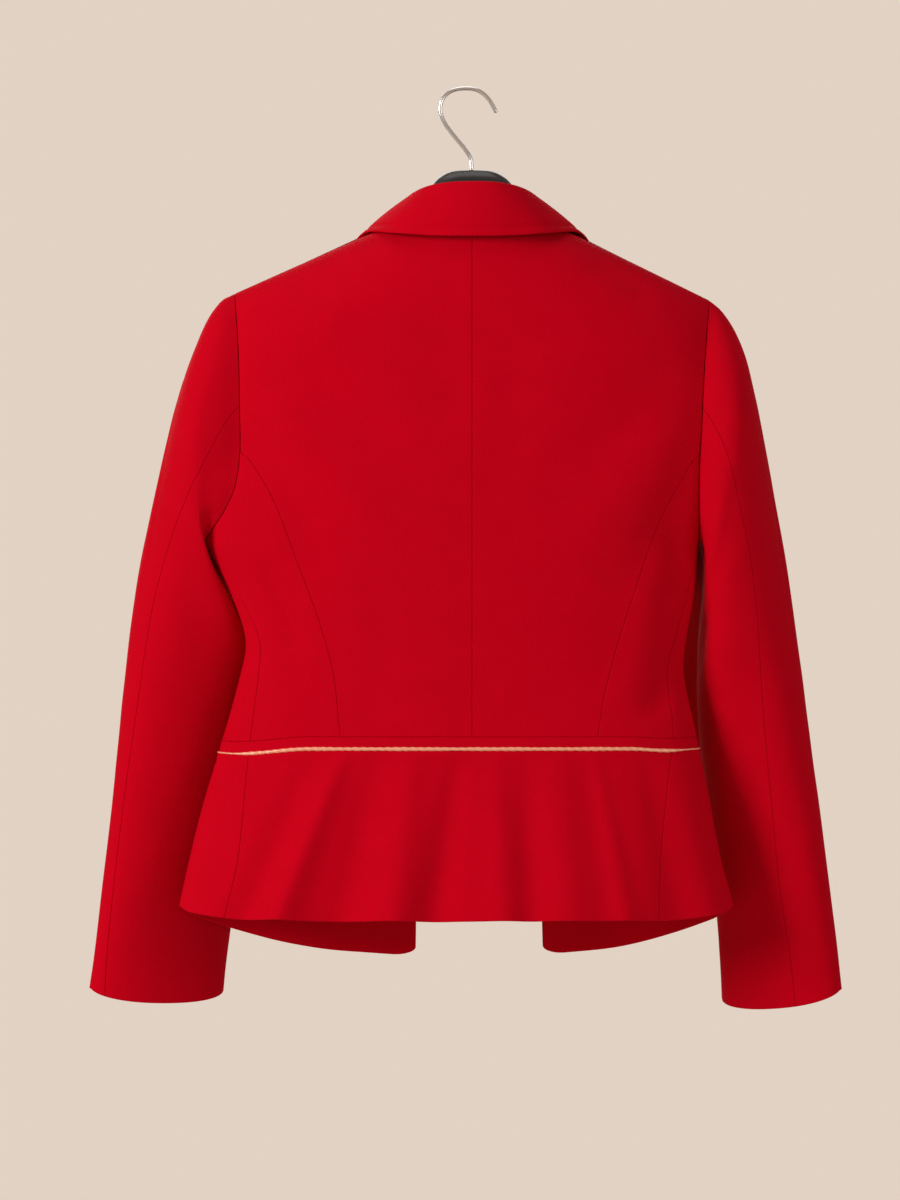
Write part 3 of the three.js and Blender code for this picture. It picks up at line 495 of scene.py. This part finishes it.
def shell(name, p, normals, thickness=CLOTH, stitch=None):
    """A closed sheet of cloth with rounded edges: p is the grid of its outer face."""
    reach = edge_distances(p)
    nearest = np.minimum.reduce(list(reach.values()))
    half = thickness / 2
    drop = round_off(nearest, half)
    if stitch is not None:
        drop = drop + stitch(reach)
    outer = p - normals * drop[..., None]
    inner = p - normals * (thickness - round_off(nearest, half))[..., None]
    rows, columns = p.shape[:2]
    count = rows * columns
    index = np.arange(count).reshape(rows, columns)
    on_edge = np.zeros((rows, columns), bool)
    on_edge[0], on_edge[-1], on_edge[:, 0], on_edge[:, -1] = True, True, True, True
    inner_index = np.where(on_edge, index, 0)
    inner_index[~on_edge] = count + np.arange((~on_edge).sum())
    points = np.concatenate([outer.reshape(-1, 3), inner[~on_edge]])

    def quads(ids, turned):
        corners = [ids[:-1, :-1], ids[1:, :-1], ids[1:, 1:], ids[:-1, 1:]]
        order = corners[::-1] if turned else corners
        return np.stack([c.ravel() for c in order], axis=1)

    faces = np.concatenate([quads(index, False), quads(inner_index, True)])
    edges = points[faces]
    spans = np.cross(edges[:, 2] - edges[:, 0], edges[:, 3] - edges[:, 1])
    if np.einsum("ij,ij->", edges[:, 0], spans) < 0:
        faces = faces[:, ::-1]
    lengths = np.concatenate([reach["left"].ravel(), reach["left"][~on_edge]])
    heights = np.concatenate([reach["top"].ravel(), reach["top"][~on_edge]])
    return cloth_mesh(name, points, faces, np.stack([lengths, heights], axis=1))


def plain_mesh(name, points, faces):
    mesh = bpy.data.meshes.new(name)
    mesh.from_pydata((np.asarray(points) * MM).tolist(), [], faces)
    mesh.validate()
    mesh.shade_smooth()
    piece = bpy.data.objects.new(name, mesh)
    bpy.context.scene.collection.objects.link(piece)
    return piece


def cloth_mesh(name, points, faces, uv):
    """A mesh whose texture places are lengths along the cloth."""
    piece = plain_mesh(name, points, faces.tolist())
    mesh = piece.data
    layer = mesh.uv_layers.new(name="cloth")
    corner = np.zeros(len(mesh.loops), np.int32)
    mesh.loops.foreach_get("vertex_index", corner)
    layer.data.foreach_set("uv", (uv[corner] * MM).astype(np.float32).ravel())
    return piece


def even_grid(surface, columns, rows, crowd=1.0):
    """A grid of points whose rows and columns are spaced by their length on the surface.

    surface(u, v) takes arrays of shares; crowd packs the trial rows towards the top edge."""
    trials = np.linspace(0, 1, 161)
    top_trials = trials**crowd
    dense = surface(*np.meshgrid(trials, top_trials))

    def places(lines, keys, wanted):
        steps = np.linalg.norm(np.diff(lines, axis=1), axis=-1)
        lengths = np.concatenate([np.zeros((len(lines), 1)), np.cumsum(steps, axis=1)], axis=1)
        lengths = lengths / np.maximum(lengths[:, -1:], 1e-6) + np.linspace(0, 1e-6, len(keys))
        return np.array([np.interp(wanted, line, keys) for line in lengths])

    across = places(dense, trials, columns)
    down = places(dense.transpose(1, 0, 2), top_trials, rows)
    u, v = np.meshgrid(columns, rows)
    for _ in range(3):
        v = np.array([np.interp(u[i], trials, down[:, i]) for i in range(len(rows))])
        u = np.array([np.interp(v[:, j], top_trials, across[:, j]) for j in range(len(columns))]).T
    return surface(u, v)


# ---- upper body ----


def top_edge_z(name, around, has_neck):
    side = SIGN[name]
    z = np.full(np.shape(around), TIP[name][1], float)
    for _ in range(8):
        x = np.abs(side * half_width(z, side) * np.sin(around) ** (2 / FULLNESS))
        neck_z = NECK["z"] + NECK_DIP * (1 - (x / NECK["x"]) ** 2)
        z = np.where(has_neck & (x < NECK["x"]), neck_z, shoulder_z(side * x))
    return z


def body_panel(name, side_name, width, length, start, end, top=None, has_neck=False):
    """A panel of the upper body between two edges, each an angle round the body at a height."""
    side = SIGN[side_name]

    def surface(u, v):
        edge_top = top if top is not None else TIP[side_name][1]
        level = lerp(edge_top, WAISTBAND_TOP_Z, v)
        z = level
        if top is None:
            first = lerp(start(edge_top, edge_top), end(edge_top, edge_top), u)
            top_z = top_edge_z(side_name, first, np.array(has_neck))
            z = lerp(top_z, WAISTBAND_TOP_Z, v)
        return body_point(side, lerp(start(level, z), end(level, z), u), z)

    crowd = 2.4 if top is None else 1.0
    p = even_grid(surface, shares(width, 4.0), shares(length, 4.6), crowd)
    normals = body_normal(p)
    p = settle(p + normals * body_fold(p)[..., None])
    return shell(name, p, normals)


def back_panel(side_name):
    top = row_z(side_name, PRINCESS_ROW)

    def outer_edge(level, z):
        return np.where(
            level > top,
            armhole_angle(side_name, "back", level),
            princess_angle(side_name, level),
        )

    return body_panel(
        f"back_panel_{side_name}", side_name, 190, 450,
        start=lambda level, z: np.zeros(np.shape(z)), end=outer_edge, has_neck=True,
    )


def side_back_panel(side_name):
    def outer_edge(level, z):
        return np.where(
            level > UNDERARM_Z,
            armhole_angle(side_name, "back", level),
            side_seam_angle(side_name, level),
        )

    return body_panel(
        f"side_back_panel_{side_name}", side_name, 75, 250,
        start=lambda level, z: princess_angle(side_name, z), end=outer_edge,
        top=float(row_z(side_name, PRINCESS_ROW)),
    )


def front_panel(side_name):
    def outer_edge(level, z):
        return np.where(
            level > UNDERARM_Z,
            armhole_angle(side_name, "front", level),
            side_seam_angle(side_name, level),
        )

    return body_panel(
        f"front_panel_{side_name}", side_name, 170, 450,
        start=outer_edge, end=lambda level, z: front_edge_angle(side_name, z),
    )


# ---- lapels and collar ----


def lapel_piece(side_name):
    """The lapel turns over the roll line on a small round and lies on the front."""
    side = SIGN[side_name]
    turn_share = 0.07

    def surface(u, v):
        flat = np.clip((u - turn_share) / (1 - turn_share), 0, 1)
        turn = np.clip(u / turn_share, 0, 1) * math.pi
        inner_z = lerp(LAPEL["top_z"], LAPEL["end_z"], v)
        outer_z = lerp(LAPEL["tip_z"], LAPEL["end_z"], v)
        reach = lerp(LAPEL["tip_out"], LAPEL["end_out"], v) + LAPEL["belly"] * np.sin(math.pi * v)
        z = lerp(inner_z, outer_z, flat)
        x = along(FRONT_EDGE[side_name]["z"], FRONT_EDGE[side_name]["x"], inner_z) + reach * flat
        p = body_point(side, angle_at(side, x, z, False), z)
        normal = body_normal(p)
        puff = LAPEL["puff"] * np.sin(math.pi * np.clip(flat * 1.6, 0, 1)) * (1 - v * 0.6)
        rise = lerp(LAPEL["roll"], LAPEL["lift"], smooth_step(flat, 0, 0.4)) + CLOTH + puff
        half = rise / 2
        p = p + normal * (half - half * np.cos(turn))[..., None]
        p[..., 0] = p[..., 0] - side * half * np.sin(turn) * 0.8
        return p

    p = even_grid(surface, shares(76, 3.0), shares(236, 4.0))
    normals = grid_slopes(p)
    normals = normals * np.sign(np.sum(normals[len(p) // 2, -20] * np.array([0, -1, 0])))
    return shell(f"lapel_{side_name}_fold", p, normals, stitch=edge_stitch("right", "top"))


def edge_stitch(*edges, inset=6.0, depth=0.28, width=0.9):
    """The shallow channel that a row of top stitching presses along some edges."""

    def channel(reach):
        near = np.minimum.reduce([reach[edge] for edge in edges])
        return depth * np.exp(-(((near - inset) / width) ** 2))

    return channel


def collar_surface(u, v):
    place = np.abs(2 * u - 1) * (len(COLLAR_SEAM) - 1)
    sign = np.where(u < 0.5, -1, 1)
    stations = np.arange(-1, len(COLLAR_SEAM))

    def read(rows):
        beyond_centre = (-rows[1][0], rows[1][1], rows[1][2])
        rows = [beyond_centre, *rows]
        x, y, z = (along(stations, [row[axis] for row in rows], place) for axis in range(3))
        return point(sign * x, y, z)

    seam, fold, edge = read(COLLAR_SEAM), read(COLLAR_FOLD), read(COLLAR_EDGE)
    up = -unit(unit(seam - fold) + unit(edge - fold))
    out = edge - seam
    out = unit(out - up * np.sum(out * up, axis=-1, keepdims=True))
    turn_start, turn_end = 0.34, 0.50
    turn = math.pi * np.clip((v - turn_start) / (turn_end - turn_start), 0, 1)[..., None]
    rounded = fold + COLLAR_FOLD_RADIUS * (up * (np.sin(turn) - 1) - out * np.cos(turn))
    stand = lerp(seam, rounded, np.clip(v / turn_start, 0, 1)[..., None])
    fall_share = np.clip((v - turn_end) / (1 - turn_end), 0, 1)[..., None]
    crown = 2.2 * np.sin(math.pi * fall_share) * (1 - 0.4 * fall_share)
    fall = lerp(rounded, edge, fall_share) + out * crown
    return np.where(v[..., None] < turn_start, stand, np.where(v[..., None] > turn_end, fall, rounded))


def collar_piece():
    p = even_grid(collar_surface, shares(420, 3.6), shares(95, 1.8))
    normals = grid_slopes(p)
    middle = p.shape[1] // 2
    normals = normals * np.sign(normals[-8, middle, 1])
    p = p + normals * (CLOTH / 2 + unevenness(p, 0.7)[..., None])
    stitch = edge_stitch("bottom", "left", "right", inset=7.0, depth=0.9, width=2.0)
    return shell("collar_cloth", p, normals, stitch=stitch)


# ---- waist and peplum ----


def round_point(angle, z):
    return body_point(np.where(angle >= 0, 1, -1), np.abs(angle), z)


def round_angle(side_name, z, edge):
    angle = front_edge_angle(side_name, z) if edge == "front" else side_seam_angle(side_name, z)
    return SIGN[side_name] * angle


def waistband_piece():
    def surface(u, v):
        z = lerp(WAISTBAND_TOP_Z, WAISTBAND_BOTTOM_Z, v)
        ends = round_angle("right", z, "front"), round_angle("left", z, "front")
        return round_point(lerp(*ends, u), z)

    rows = np.array([0, 0.02, 0.06, 0.13, 0.25, 0.4, 0.6, 0.75, 0.87, 0.94, 0.98, 1])
    p = even_grid(surface, shares(1030, 4.0), rows)
    return shell("waistband_cloth", settle(p), body_normal(p))


def peplum_piece(name, start, end, width, corner=0.0):
    def surface(u, v):
        into_corner = np.clip(corner - (1 - u) * width, 0, corner)
        hem_angle = np.abs(lerp(start(HEM["z"][0]), end(HEM["z"][0]), u))
        hem_z = along(HEM["around"], HEM["z"], np.degrees(hem_angle))
        hem_z = hem_z + corner - np.sqrt(corner**2 - into_corner**2)
        z = lerp(PEPLUM_TOP_Z, hem_z, v)
        return round_point(lerp(start(z), end(z), u), z)

    p = even_grid(surface, shares(width, 3.6), shares(PEPLUM_LENGTH, 3.6))
    normals = body_normal(p)
    p = settle(p + normals * peplum_fold(p)[..., None])
    return shell(name, p, normals, stitch=peplum_seam_press)


def peplum_seam_press(reach):
    """The seam allowance under the piping lifts the cloth and its stitching draws it in below."""
    near = reach["top"]
    return 0.35 * np.exp(-(((near - 8) / 1.4) ** 2)) - 0.3 * np.exp(-(((near - 4) / 2.5) ** 2))


def peplum_back_piece():
    return peplum_piece(
        "peplum_back_cloth",
        lambda z: round_angle("right", z, "side"),
        lambda z: round_angle("left", z, "side"),
        400,
    )


def peplum_front_piece(side_name):
    return peplum_piece(
        f"peplum_front_cloth_{side_name}",
        lambda z: round_angle(side_name, z, "side"),
        lambda z: round_angle(side_name, z, "front"),
        230,
        corner=8.0,
    )


# ---- piping: a metallic cord of twisted strands ----
PIPING_STRANDS = 3
PIPING_LAY = 7.0  # length of one turn of a strand
STRAND_VALLEY = 0.72  # the radius between two strands, as a share of the whole
STRAND_CREST = 0.26  # what a strand adds to that share
# The piping thins by this share where it passes the sides, between two distances from the middle.
PIPING_THINS = dict(by=0.6, left=(186, 206), right=(164, 186))


def piping_piece():
    steps, sides = 1500, 14
    ends = round_angle("right", PIPING_Z, "front"), round_angle("left", PIPING_Z, "front")
    angles = lerp(*ends, np.linspace(0, 1, steps + 1))
    route = round_point(angles, np.full(steps + 1, PIPING_Z))
    out = body_normal(route)
    route = settle(route)
    route = route + out * (PIPING_OUT - PIPING_DIAMETER / 2)
    run = np.concatenate([[0], np.cumsum(np.linalg.norm(np.diff(route, axis=0), axis=1))])
    forward = unit(np.gradient(route, axis=0))
    up = unit(np.cross(forward, out))
    turn = np.linspace(0, 2 * math.pi, sides, endpoint=False)[None]
    twist = PIPING_STRANDS * (turn - 2 * math.pi * run[:, None] / (PIPING_LAY * PIPING_STRANDS))
    wobble = 0.05 * np.sin(run / 13)[:, None] + 0.04 * np.sin(run / 5.3 + 1)[:, None]
    strands = STRAND_VALLEY + STRAND_CREST * np.abs(np.cos(twist / 2)) + wobble
    thinner = PIPING_THINS["by"]
    side_fade = 1 - thinner * smooth_step(route[:, 0], *PIPING_THINS["left"])
    side_fade = side_fade - thinner * smooth_step(-route[:, 0], *PIPING_THINS["right"])
    radius = PIPING_DIAMETER / 2 * strands * side_fade[:, None]
    around = out[:, None] * np.cos(turn)[..., None] + up[:, None] * np.sin(turn)[..., None]
    return tube_mesh("piping_cord", route[:, None] + radius[..., None] * around)


def tube_mesh(name, rings):
    """A closed tube through rings of points."""
    count, sides = rings.shape[:2]
    index = np.arange(count * sides).reshape(count, sides)
    following = np.roll(index, -1, axis=1)
    corners = [index[:-1], following[:-1], following[1:], index[1:]]
    faces = np.stack([c.ravel() for c in corners], axis=1).tolist()
    points = rings.reshape(-1, 3)
    points = np.concatenate([points, rings[:1].mean(axis=1), rings[-1:].mean(axis=1)])
    first, last = count * sides, count * sides + 1
    faces += [[first, following[0, i], index[0, i]] for i in range(sides)]
    faces += [[last, index[-1, i], following[-1, i]] for i in range(sides)]
    return plain_mesh(name, points, faces)


# ---- sleeves ----


def signed_power(value):
    return np.sign(value) * np.abs(value) ** (2 / SLEEVE_FULLNESS)


def section_point(name, station, angle):
    """A point of a plain sleeve section: its angle runs from the outer end round the back."""
    table = SLEEVE[name]
    stations = np.arange(STATIONS + 1)
    read = {key: along(stations, values, station) for key, values in table.items()}
    outer = point(SIGN[name] * read["out_x"], read["out_y"], read["out_z"])
    inner = point(SIGN[name] * read["in_x"], read["in_y"], read["in_z"])
    across = (outer - inner) / 2
    axis = unit(across)
    back = point(0, 1, 0) - axis * axis[..., 1:2]
    back = unit(back) * read["depth"][..., None]
    section = (outer + inner) / 2
    section = section + across * signed_power(np.cos(angle))[..., None]
    section = section + back * signed_power(np.sin(angle))[..., None]
    in_front = np.where(np.sin(angle) < 0, np.maximum(np.sin(2 * angle), 0), 0)
    section[..., 0] -= SIGN[name] * read["lap"] * in_front
    return section


def armhole_point(name, angle):
    tip_z = TIP[name][1]
    z = (tip_z + UNDERARM_Z) / 2 + (tip_z - UNDERARM_Z) / 2 * np.cos(angle)
    back = body_point(SIGN[name], armhole_angle(name, "back", z), z)
    front = body_point(SIGN[name], armhole_angle(name, "front", z), z)
    p = np.where((np.sin(angle) >= 0)[..., None], back, front)
    return p + body_normal(p) * body_fold(p)[..., None]


def sleeve_point(name, station, angle):
    p = section_point(name, station, angle)
    drop = CUFF_DROP * (station / STATIONS) ** 6 * np.maximum(np.sin(angle), 0)
    p[..., 2] -= drop
    rest = np.clip(1 - station / SHOULDER_BLEND_STATIONS, 0, 1) ** 2
    to_armhole = armhole_point(name, angle) - section_point(name, np.zeros(np.shape(station)), angle)
    return p + to_armhole * rest[..., None]


STATION_SIZE = 0.55  # a station on the flat plan that the sleeve folds are drawn on
DEGREE_SIZE = 0.009  # a degree round the sleeve on the same plan


def sleeve_fold(name, station, angle):
    degrees = np.degrees(angle) % 360
    height = np.zeros(np.shape(station))
    for fold in SLEEVE_FOLDS[name]:
        scaled = dict(
            fold,
            start=(fold["start"][0] * STATION_SIZE, fold["start"][1] * DEGREE_SIZE),
            end=(fold["end"][0] * STATION_SIZE, fold["end"][1] * DEGREE_SIZE),
        )
        height = height + fold_height(station * STATION_SIZE, degrees * DEGREE_SIZE, scaled)
    return height * smooth_step(station, 0, 1.2)


def sleeve_piece(name, side_name, width, start, end):
    places = {}

    def surface(u, v):
        station = v * STATIONS
        angle = lerp(start(station), end(station), u)
        places["station"], places["angle"] = station, angle
        return sleeve_point(side_name, station, angle)

    p = even_grid(surface, shares(width, 4.0), shares(560, 4.6))
    station, angle = places["station"], places["angle"]
    normals = grid_slopes(p)
    middle = section_point(side_name, station, np.zeros(station.shape))
    middle = (middle + section_point(side_name, station, np.full(station.shape, math.pi))) / 2
    outwards = np.sum(normals * (p - middle), axis=-1)
    normals = normals * np.sign(outwards.mean())
    height = sleeve_fold(side_name, station, angle) + unevenness(p) * smooth_step(station, 0, 1)
    return shell(name, p + normals * height[..., None], normals)


def elbow_angle(side_name):
    stations = np.arange(STATIONS + 1)
    return lambda station: np.radians(along(stations, SLEEVE[side_name]["elbow"], station))


def sleeve_pieces(side_name):
    elbow = elbow_angle(side_name)
    top_width, under_width = {"left": (150, 140), "right": (190, 100)}[side_name]
    seam = FRONT_SLEEVE_SEAM[side_name]

    def front_seam(turns):
        return lambda station: np.full(np.shape(station), seam + turns)

    top = sleeve_piece(
        f"top_sleeve_{side_name}", side_name, top_width, front_seam(-2 * math.pi), elbow
    )
    under = sleeve_piece(
        f"under_sleeve_{side_name}", side_name, under_width, elbow, front_seam(0)
    )
    return top, under


# ---- hanger and hook ----
# Half of the hanger: how far out each section is, its top edge and its half height and half depth.
HANGER_ARM = dict(
    x=[0, 18, 30, 38, 50, 62, 85, 120, 165, 184, 192],
    top=[-68, -69.5, -76, -86, -105, -119, -130, -145, -166, -178, -190],
    height=[16, 16, 15, 14, 14, 14, 15, 17, 19, 16, 8],
    depth=[13, 13, 12.5, 12, 11.5, 12, 13, 15, 18, 16, 8],
)
HANGER_FULLNESS = 2.2
HANGER_END_ROUNDING = 9.0


def hanger_piece():
    x = np.linspace(-HANGER_ARM["x"][-1], HANGER_ARM["x"][-1], 221)
    read = {key: along(HANGER_ARM["x"], HANGER_ARM[key], np.abs(x)) for key in HANGER_ARM}
    round_end = np.sqrt(np.clip((read["x"][0] - np.abs(x) + 0.01) / HANGER_END_ROUNDING, 0.0004, 1))
    turn = np.linspace(0, 2 * math.pi, 40, endpoint=False)
    across = np.sign(np.sin(turn)) * np.abs(np.sin(turn)) ** (2 / HANGER_FULLNESS)
    upright = np.sign(np.cos(turn)) * np.abs(np.cos(turn)) ** (2 / HANGER_FULLNESS)
    half_height = (read["height"] * round_end)[:, None]
    middle = (read["top"] - read["height"])[:, None]
    y = (read["depth"] * round_end)[:, None] * across
    rings = point(x[:, None] + 0 * y, y, middle + half_height * upright)
    return tube_mesh("hanger_moulding", rings)


def hook_piece():
    keys = np.arange(len(HOOK_ROUTE))
    places = np.linspace(0, len(HOOK_ROUTE) - 1, 260)
    x = along(keys, [x for x, _ in HOOK_ROUTE], places)
    z = along(keys, [z for _, z in HOOK_ROUTE], places)
    route = point(x, np.zeros(len(x)), z)
    forward = unit(np.gradient(route, axis=0))
    side = point(0, 1, 0)
    up = np.cross(forward, side)
    turn = np.linspace(0, 2 * math.pi, 20, endpoint=False)[None]
    run = np.concatenate([[0], np.cumsum(np.linalg.norm(np.diff(route, axis=0), axis=1))])
    to_tip = np.clip((run[-1] - run) / (WIRE_DIAMETER / 2), 0.02, 1)
    radius = WIRE_DIAMETER / 2 * np.sqrt(1 - (1 - to_tip) ** 2)
    around = side * np.cos(turn)[..., None] + up[:, None] * np.sin(turn)[..., None]
    return tube_mesh("hook_wire", route[:, None] + radius[:, None, None] * around)


# ---- materials ----
CLOTH_RED = (0.60, 0.0008, 0.0120)
CLOTH_DEEP_RED = (0.53, 0.0006, 0.0100)
GOLD = (0.90, 0.27, 0.14)
# the paler gold of the painted glints on the piping's thread
PAINTED_GLINT_GOLD = (1.0, 0.54, 0.36)
HANGER_BLACK = (0.012, 0.012, 0.013)
CHROME = (0.80, 0.79, 0.78)
BACKDROP = (0.76, 0.645, 0.55)


class Nodes:
    """A material and short ways to add its nodes."""

    def __init__(self, name):
        self.material = bpy.data.materials.new(name)
        self.material.use_nodes = True
        self.tree = self.material.node_tree
        self.shader = self.tree.nodes["Principled BSDF"]

    def add(self, kind, **inputs):
        node = self.tree.nodes.new(kind)
        for name, value in inputs.items():
            node.inputs[name.replace("_", " ")].default_value = value
        return node

    def link(self, source, target):
        self.tree.links.new(source, target)

    def set(self, **inputs):
        for name, value in inputs.items():
            self.shader.inputs[name.replace("_", " ")].default_value = value


def mix_colours(nodes, low, high, share):
    mix = nodes.tree.nodes.new("ShaderNodeMix")
    mix.data_type = "RGBA"
    mix.inputs[6].default_value = (*low, 1)
    mix.inputs[7].default_value = (*high, 1)
    nodes.link(share, mix.inputs[0])
    nodes.link(mix.outputs[2], nodes.shader.inputs["Base Color"])


def cloth_material():
    nodes = Nodes("red_wool_crepe")
    nodes.set(Roughness=0.8, Specular_IOR_Level=0.12, Sheen_Weight=0.04, Sheen_Roughness=0.4)
    nodes.set(Specular_Tint=(1.0, 0.03, 0.06, 1), Sheen_Tint=(1.0, 0.02, 0.05, 1))
    place = nodes.tree.nodes.new("ShaderNodeTexCoord")
    cloud = nodes.add("ShaderNodeTexNoise", Scale=38.0, Detail=3.0, Roughness=0.6)
    nodes.link(place.outputs["Object"], cloud.inputs["Vector"])
    mix_colours(nodes, CLOTH_DEEP_RED, CLOTH_RED, cloud.outputs["Fac"])
    grain = nodes.add("ShaderNodeTexNoise", Scale=900.0, Detail=4.0, Roughness=0.65)
    nodes.link(place.outputs["Object"], grain.inputs["Vector"])
    twill = nodes.add("ShaderNodeTexWave", Scale=260.0, Distortion=2.5, Detail=2.0)
    twill.wave_type = "BANDS"
    twill.bands_direction = "DIAGONAL"
    nodes.link(place.outputs["UV"], twill.inputs["Vector"])
    fine = nodes.add("ShaderNodeBump", Strength=0.35, Distance=0.0003)
    nodes.link(grain.outputs["Fac"], fine.inputs["Height"])
    weave = nodes.add("ShaderNodeBump", Strength=0.16, Distance=0.0002)
    nodes.link(twill.outputs["Fac"], weave.inputs["Height"])
    nodes.link(fine.outputs["Normal"], weave.inputs["Normal"])
    nodes.link(weave.outputs["Normal"], nodes.shader.inputs["Normal"])
    return nodes.material


def piping_material():
    nodes = Nodes("gold_metallic_thread")
    nodes.set(Metallic=0.15, Roughness=0.4)
    place = nodes.tree.nodes.new("ShaderNodeTexCoord")
    # noise speckles of paler gold in the base colour are painted glints; the same noise bumps the strands
    painted_glint_and_bump = nodes.add("ShaderNodeTexNoise", Scale=620.0, Detail=2.0, Roughness=0.6)
    nodes.link(place.outputs["Object"], painted_glint_and_bump.inputs["Vector"])
    mix_colours(nodes, GOLD, PAINTED_GLINT_GOLD, painted_glint_and_bump.outputs["Fac"])
    bump = nodes.add("ShaderNodeBump", Strength=0.5, Distance=0.0004)
    nodes.link(painted_glint_and_bump.outputs["Fac"], bump.inputs["Height"])
    nodes.link(bump.outputs["Normal"], nodes.shader.inputs["Normal"])
    return nodes.material


def plain_material(name, colour, texture_scale, bump_height, **shader):
    nodes = Nodes(name)
    nodes.set(**shader)
    place = nodes.tree.nodes.new("ShaderNodeTexCoord")
    noise = nodes.add("ShaderNodeTexNoise", Scale=texture_scale, Detail=2.0)
    nodes.link(place.outputs["Object"], noise.inputs["Vector"])
    darker = tuple(0.96 * channel for channel in colour)
    mix_colours(nodes, darker, colour, noise.outputs["Fac"])
    bump = nodes.add("ShaderNodeBump", Strength=0.2, Distance=bump_height)
    nodes.link(noise.outputs["Fac"], bump.inputs["Height"])
    nodes.link(bump.outputs["Normal"], nodes.shader.inputs["Normal"])
    return nodes.material


# ---- the pieces, each with the node it stands for ----


def dress(piece, node, material):
    piece.data.materials.append(material)
    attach(piece, "root")
    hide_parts(node)


red = cloth_material()
# Estimated width and length, and the left and right area as the export measured them.
for side_name in ("left", "right"):
    top_sleeve, under_sleeve = sleeve_pieces(side_name)
    made = {
        "back": back_panel(side_name),
        "side_back": side_back_panel(side_name),
        "front": front_panel(side_name),
        "lapel": lapel_piece(side_name),
        "sleeve_top": top_sleeve,
        "sleeve_under": under_sleeve,
        "peplum_front": peplum_front_piece(side_name),
    }
    for kind, piece in made.items():
        dress(piece, f"{kind}_{side_name}", red)
dress(collar_piece(), "collar", red)
dress(waistband_piece(), "waistband", red)
dress(peplum_back_piece(), "peplum_back", red)
dress(piping_piece(), "piping", piping_material())

black = plain_material(
    "black_satin_plastic", HANGER_BLACK, 60.0, 0.0001,
    Roughness=0.32, Specular_IOR_Level=0.5, Coat_Weight=0.15, Coat_Roughness=0.2,
)
chrome = Nodes("polished_chrome")
chrome.set(Base_Color=(*CHROME, 1), Metallic=1.0, Roughness=0.22)
dress(hanger_piece(), "hanger", black)
dress(hook_piece(), "hook", chrome.material)

# ---- floor, light and camera ----
FLOOR_Z = -1.62
FLOOR_RADIUS = 2.6
VIEW_DISTANCE = 7.0
VIEW_FIELD = 1.032  # what the long side of the picture takes in at the garment
VIEW_CENTRE = (0.019, 0.0, -0.438)
AMBIENT = 0.22  # the backdrop's light on the garment, as a share of how bright it looks
MIRRORED = 0.35  # how much of the rest of that brightness shows in reflections


def floor_piece():
    turn = np.linspace(0, 2 * math.pi, 96, endpoint=False)
    rim = point(np.cos(turn), np.sin(turn), np.zeros(96)) * FLOOR_RADIUS
    rim[..., 2] = FLOOR_Z
    return plain_mesh("floor", rim / MM, [list(range(96))])


floor = floor_piece()
floor.data.materials.append(
    plain_material("pale_floor", BACKDROP, 3.0, 0.0001, Roughness=0.9, Specular_IOR_Level=0.1)
)


def area_light(name, place, size, watts, colour):
    lamp = bpy.data.lights.new(name, "AREA")
    lamp.shape = "RECTANGLE"
    lamp.size, lamp.size_y = size
    lamp.energy = watts
    lamp.color = colour
    holder = bpy.data.objects.new(name, lamp)
    holder.location = place
    to_garment = Vector(VIEW_CENTRE) - Vector(place)
    holder.rotation_euler = to_garment.to_track_quat("-Z", "Y").to_euler()
    bpy.context.scene.collection.objects.link(holder)


area_light("key", (2.6, 1.9, 0.4), (1.2, 1.4), 82, (1.0, 0.97, 0.94))
area_light("fill", (-2.3, 2.1, -0.2), (1.8, 2.2), 25, (1.0, 0.96, 0.93))
area_light("top", (0.2, 0.1, 1.9), (1.6, 1.6), 12, (1.0, 0.98, 0.96))
area_light("behind", (0.4, -2.8, 0.6), (2.2, 2.0), 28, (1.0, 0.97, 0.95))

world = bpy.data.worlds.new("studio")
bpy.context.scene.world = world
world.use_nodes = True
sky = world.node_tree.nodes["Background"]
sky.inputs["Color"].default_value = (*BACKDROP, 1)
rays = world.node_tree.nodes.new("ShaderNodeLightPath")
strength = world.node_tree.nodes.new("ShaderNodeMapRange")
strength.inputs["To Min"].default_value = AMBIENT
strength.inputs["To Max"].default_value = 1.0
seen = world.node_tree.nodes.new("ShaderNodeMath")
seen.operation = "MULTIPLY_ADD"
seen.inputs[1].default_value = MIRRORED
world.node_tree.links.new(rays.outputs["Is Glossy Ray"], seen.inputs[0])
world.node_tree.links.new(rays.outputs["Is Camera Ray"], seen.inputs[2])
world.node_tree.links.new(seen.outputs["Value"], strength.inputs["Value"])
world.node_tree.links.new(strength.outputs["Result"], sky.inputs["Strength"])

camera = bpy.data.objects.new("camera", bpy.data.cameras.new("camera"))
bpy.context.scene.collection.objects.link(camera)
camera.location = (VIEW_CENTRE[0], VIEW_DISTANCE, VIEW_CENTRE[2])
camera.rotation_euler = (math.radians(90), 0, math.radians(180))
camera.data.lens = camera.data.sensor_width * VIEW_DISTANCE / VIEW_FIELD
bpy.context.scene.camera = camera
bpy.context.scene.view_settings.view_transform = "Standard"
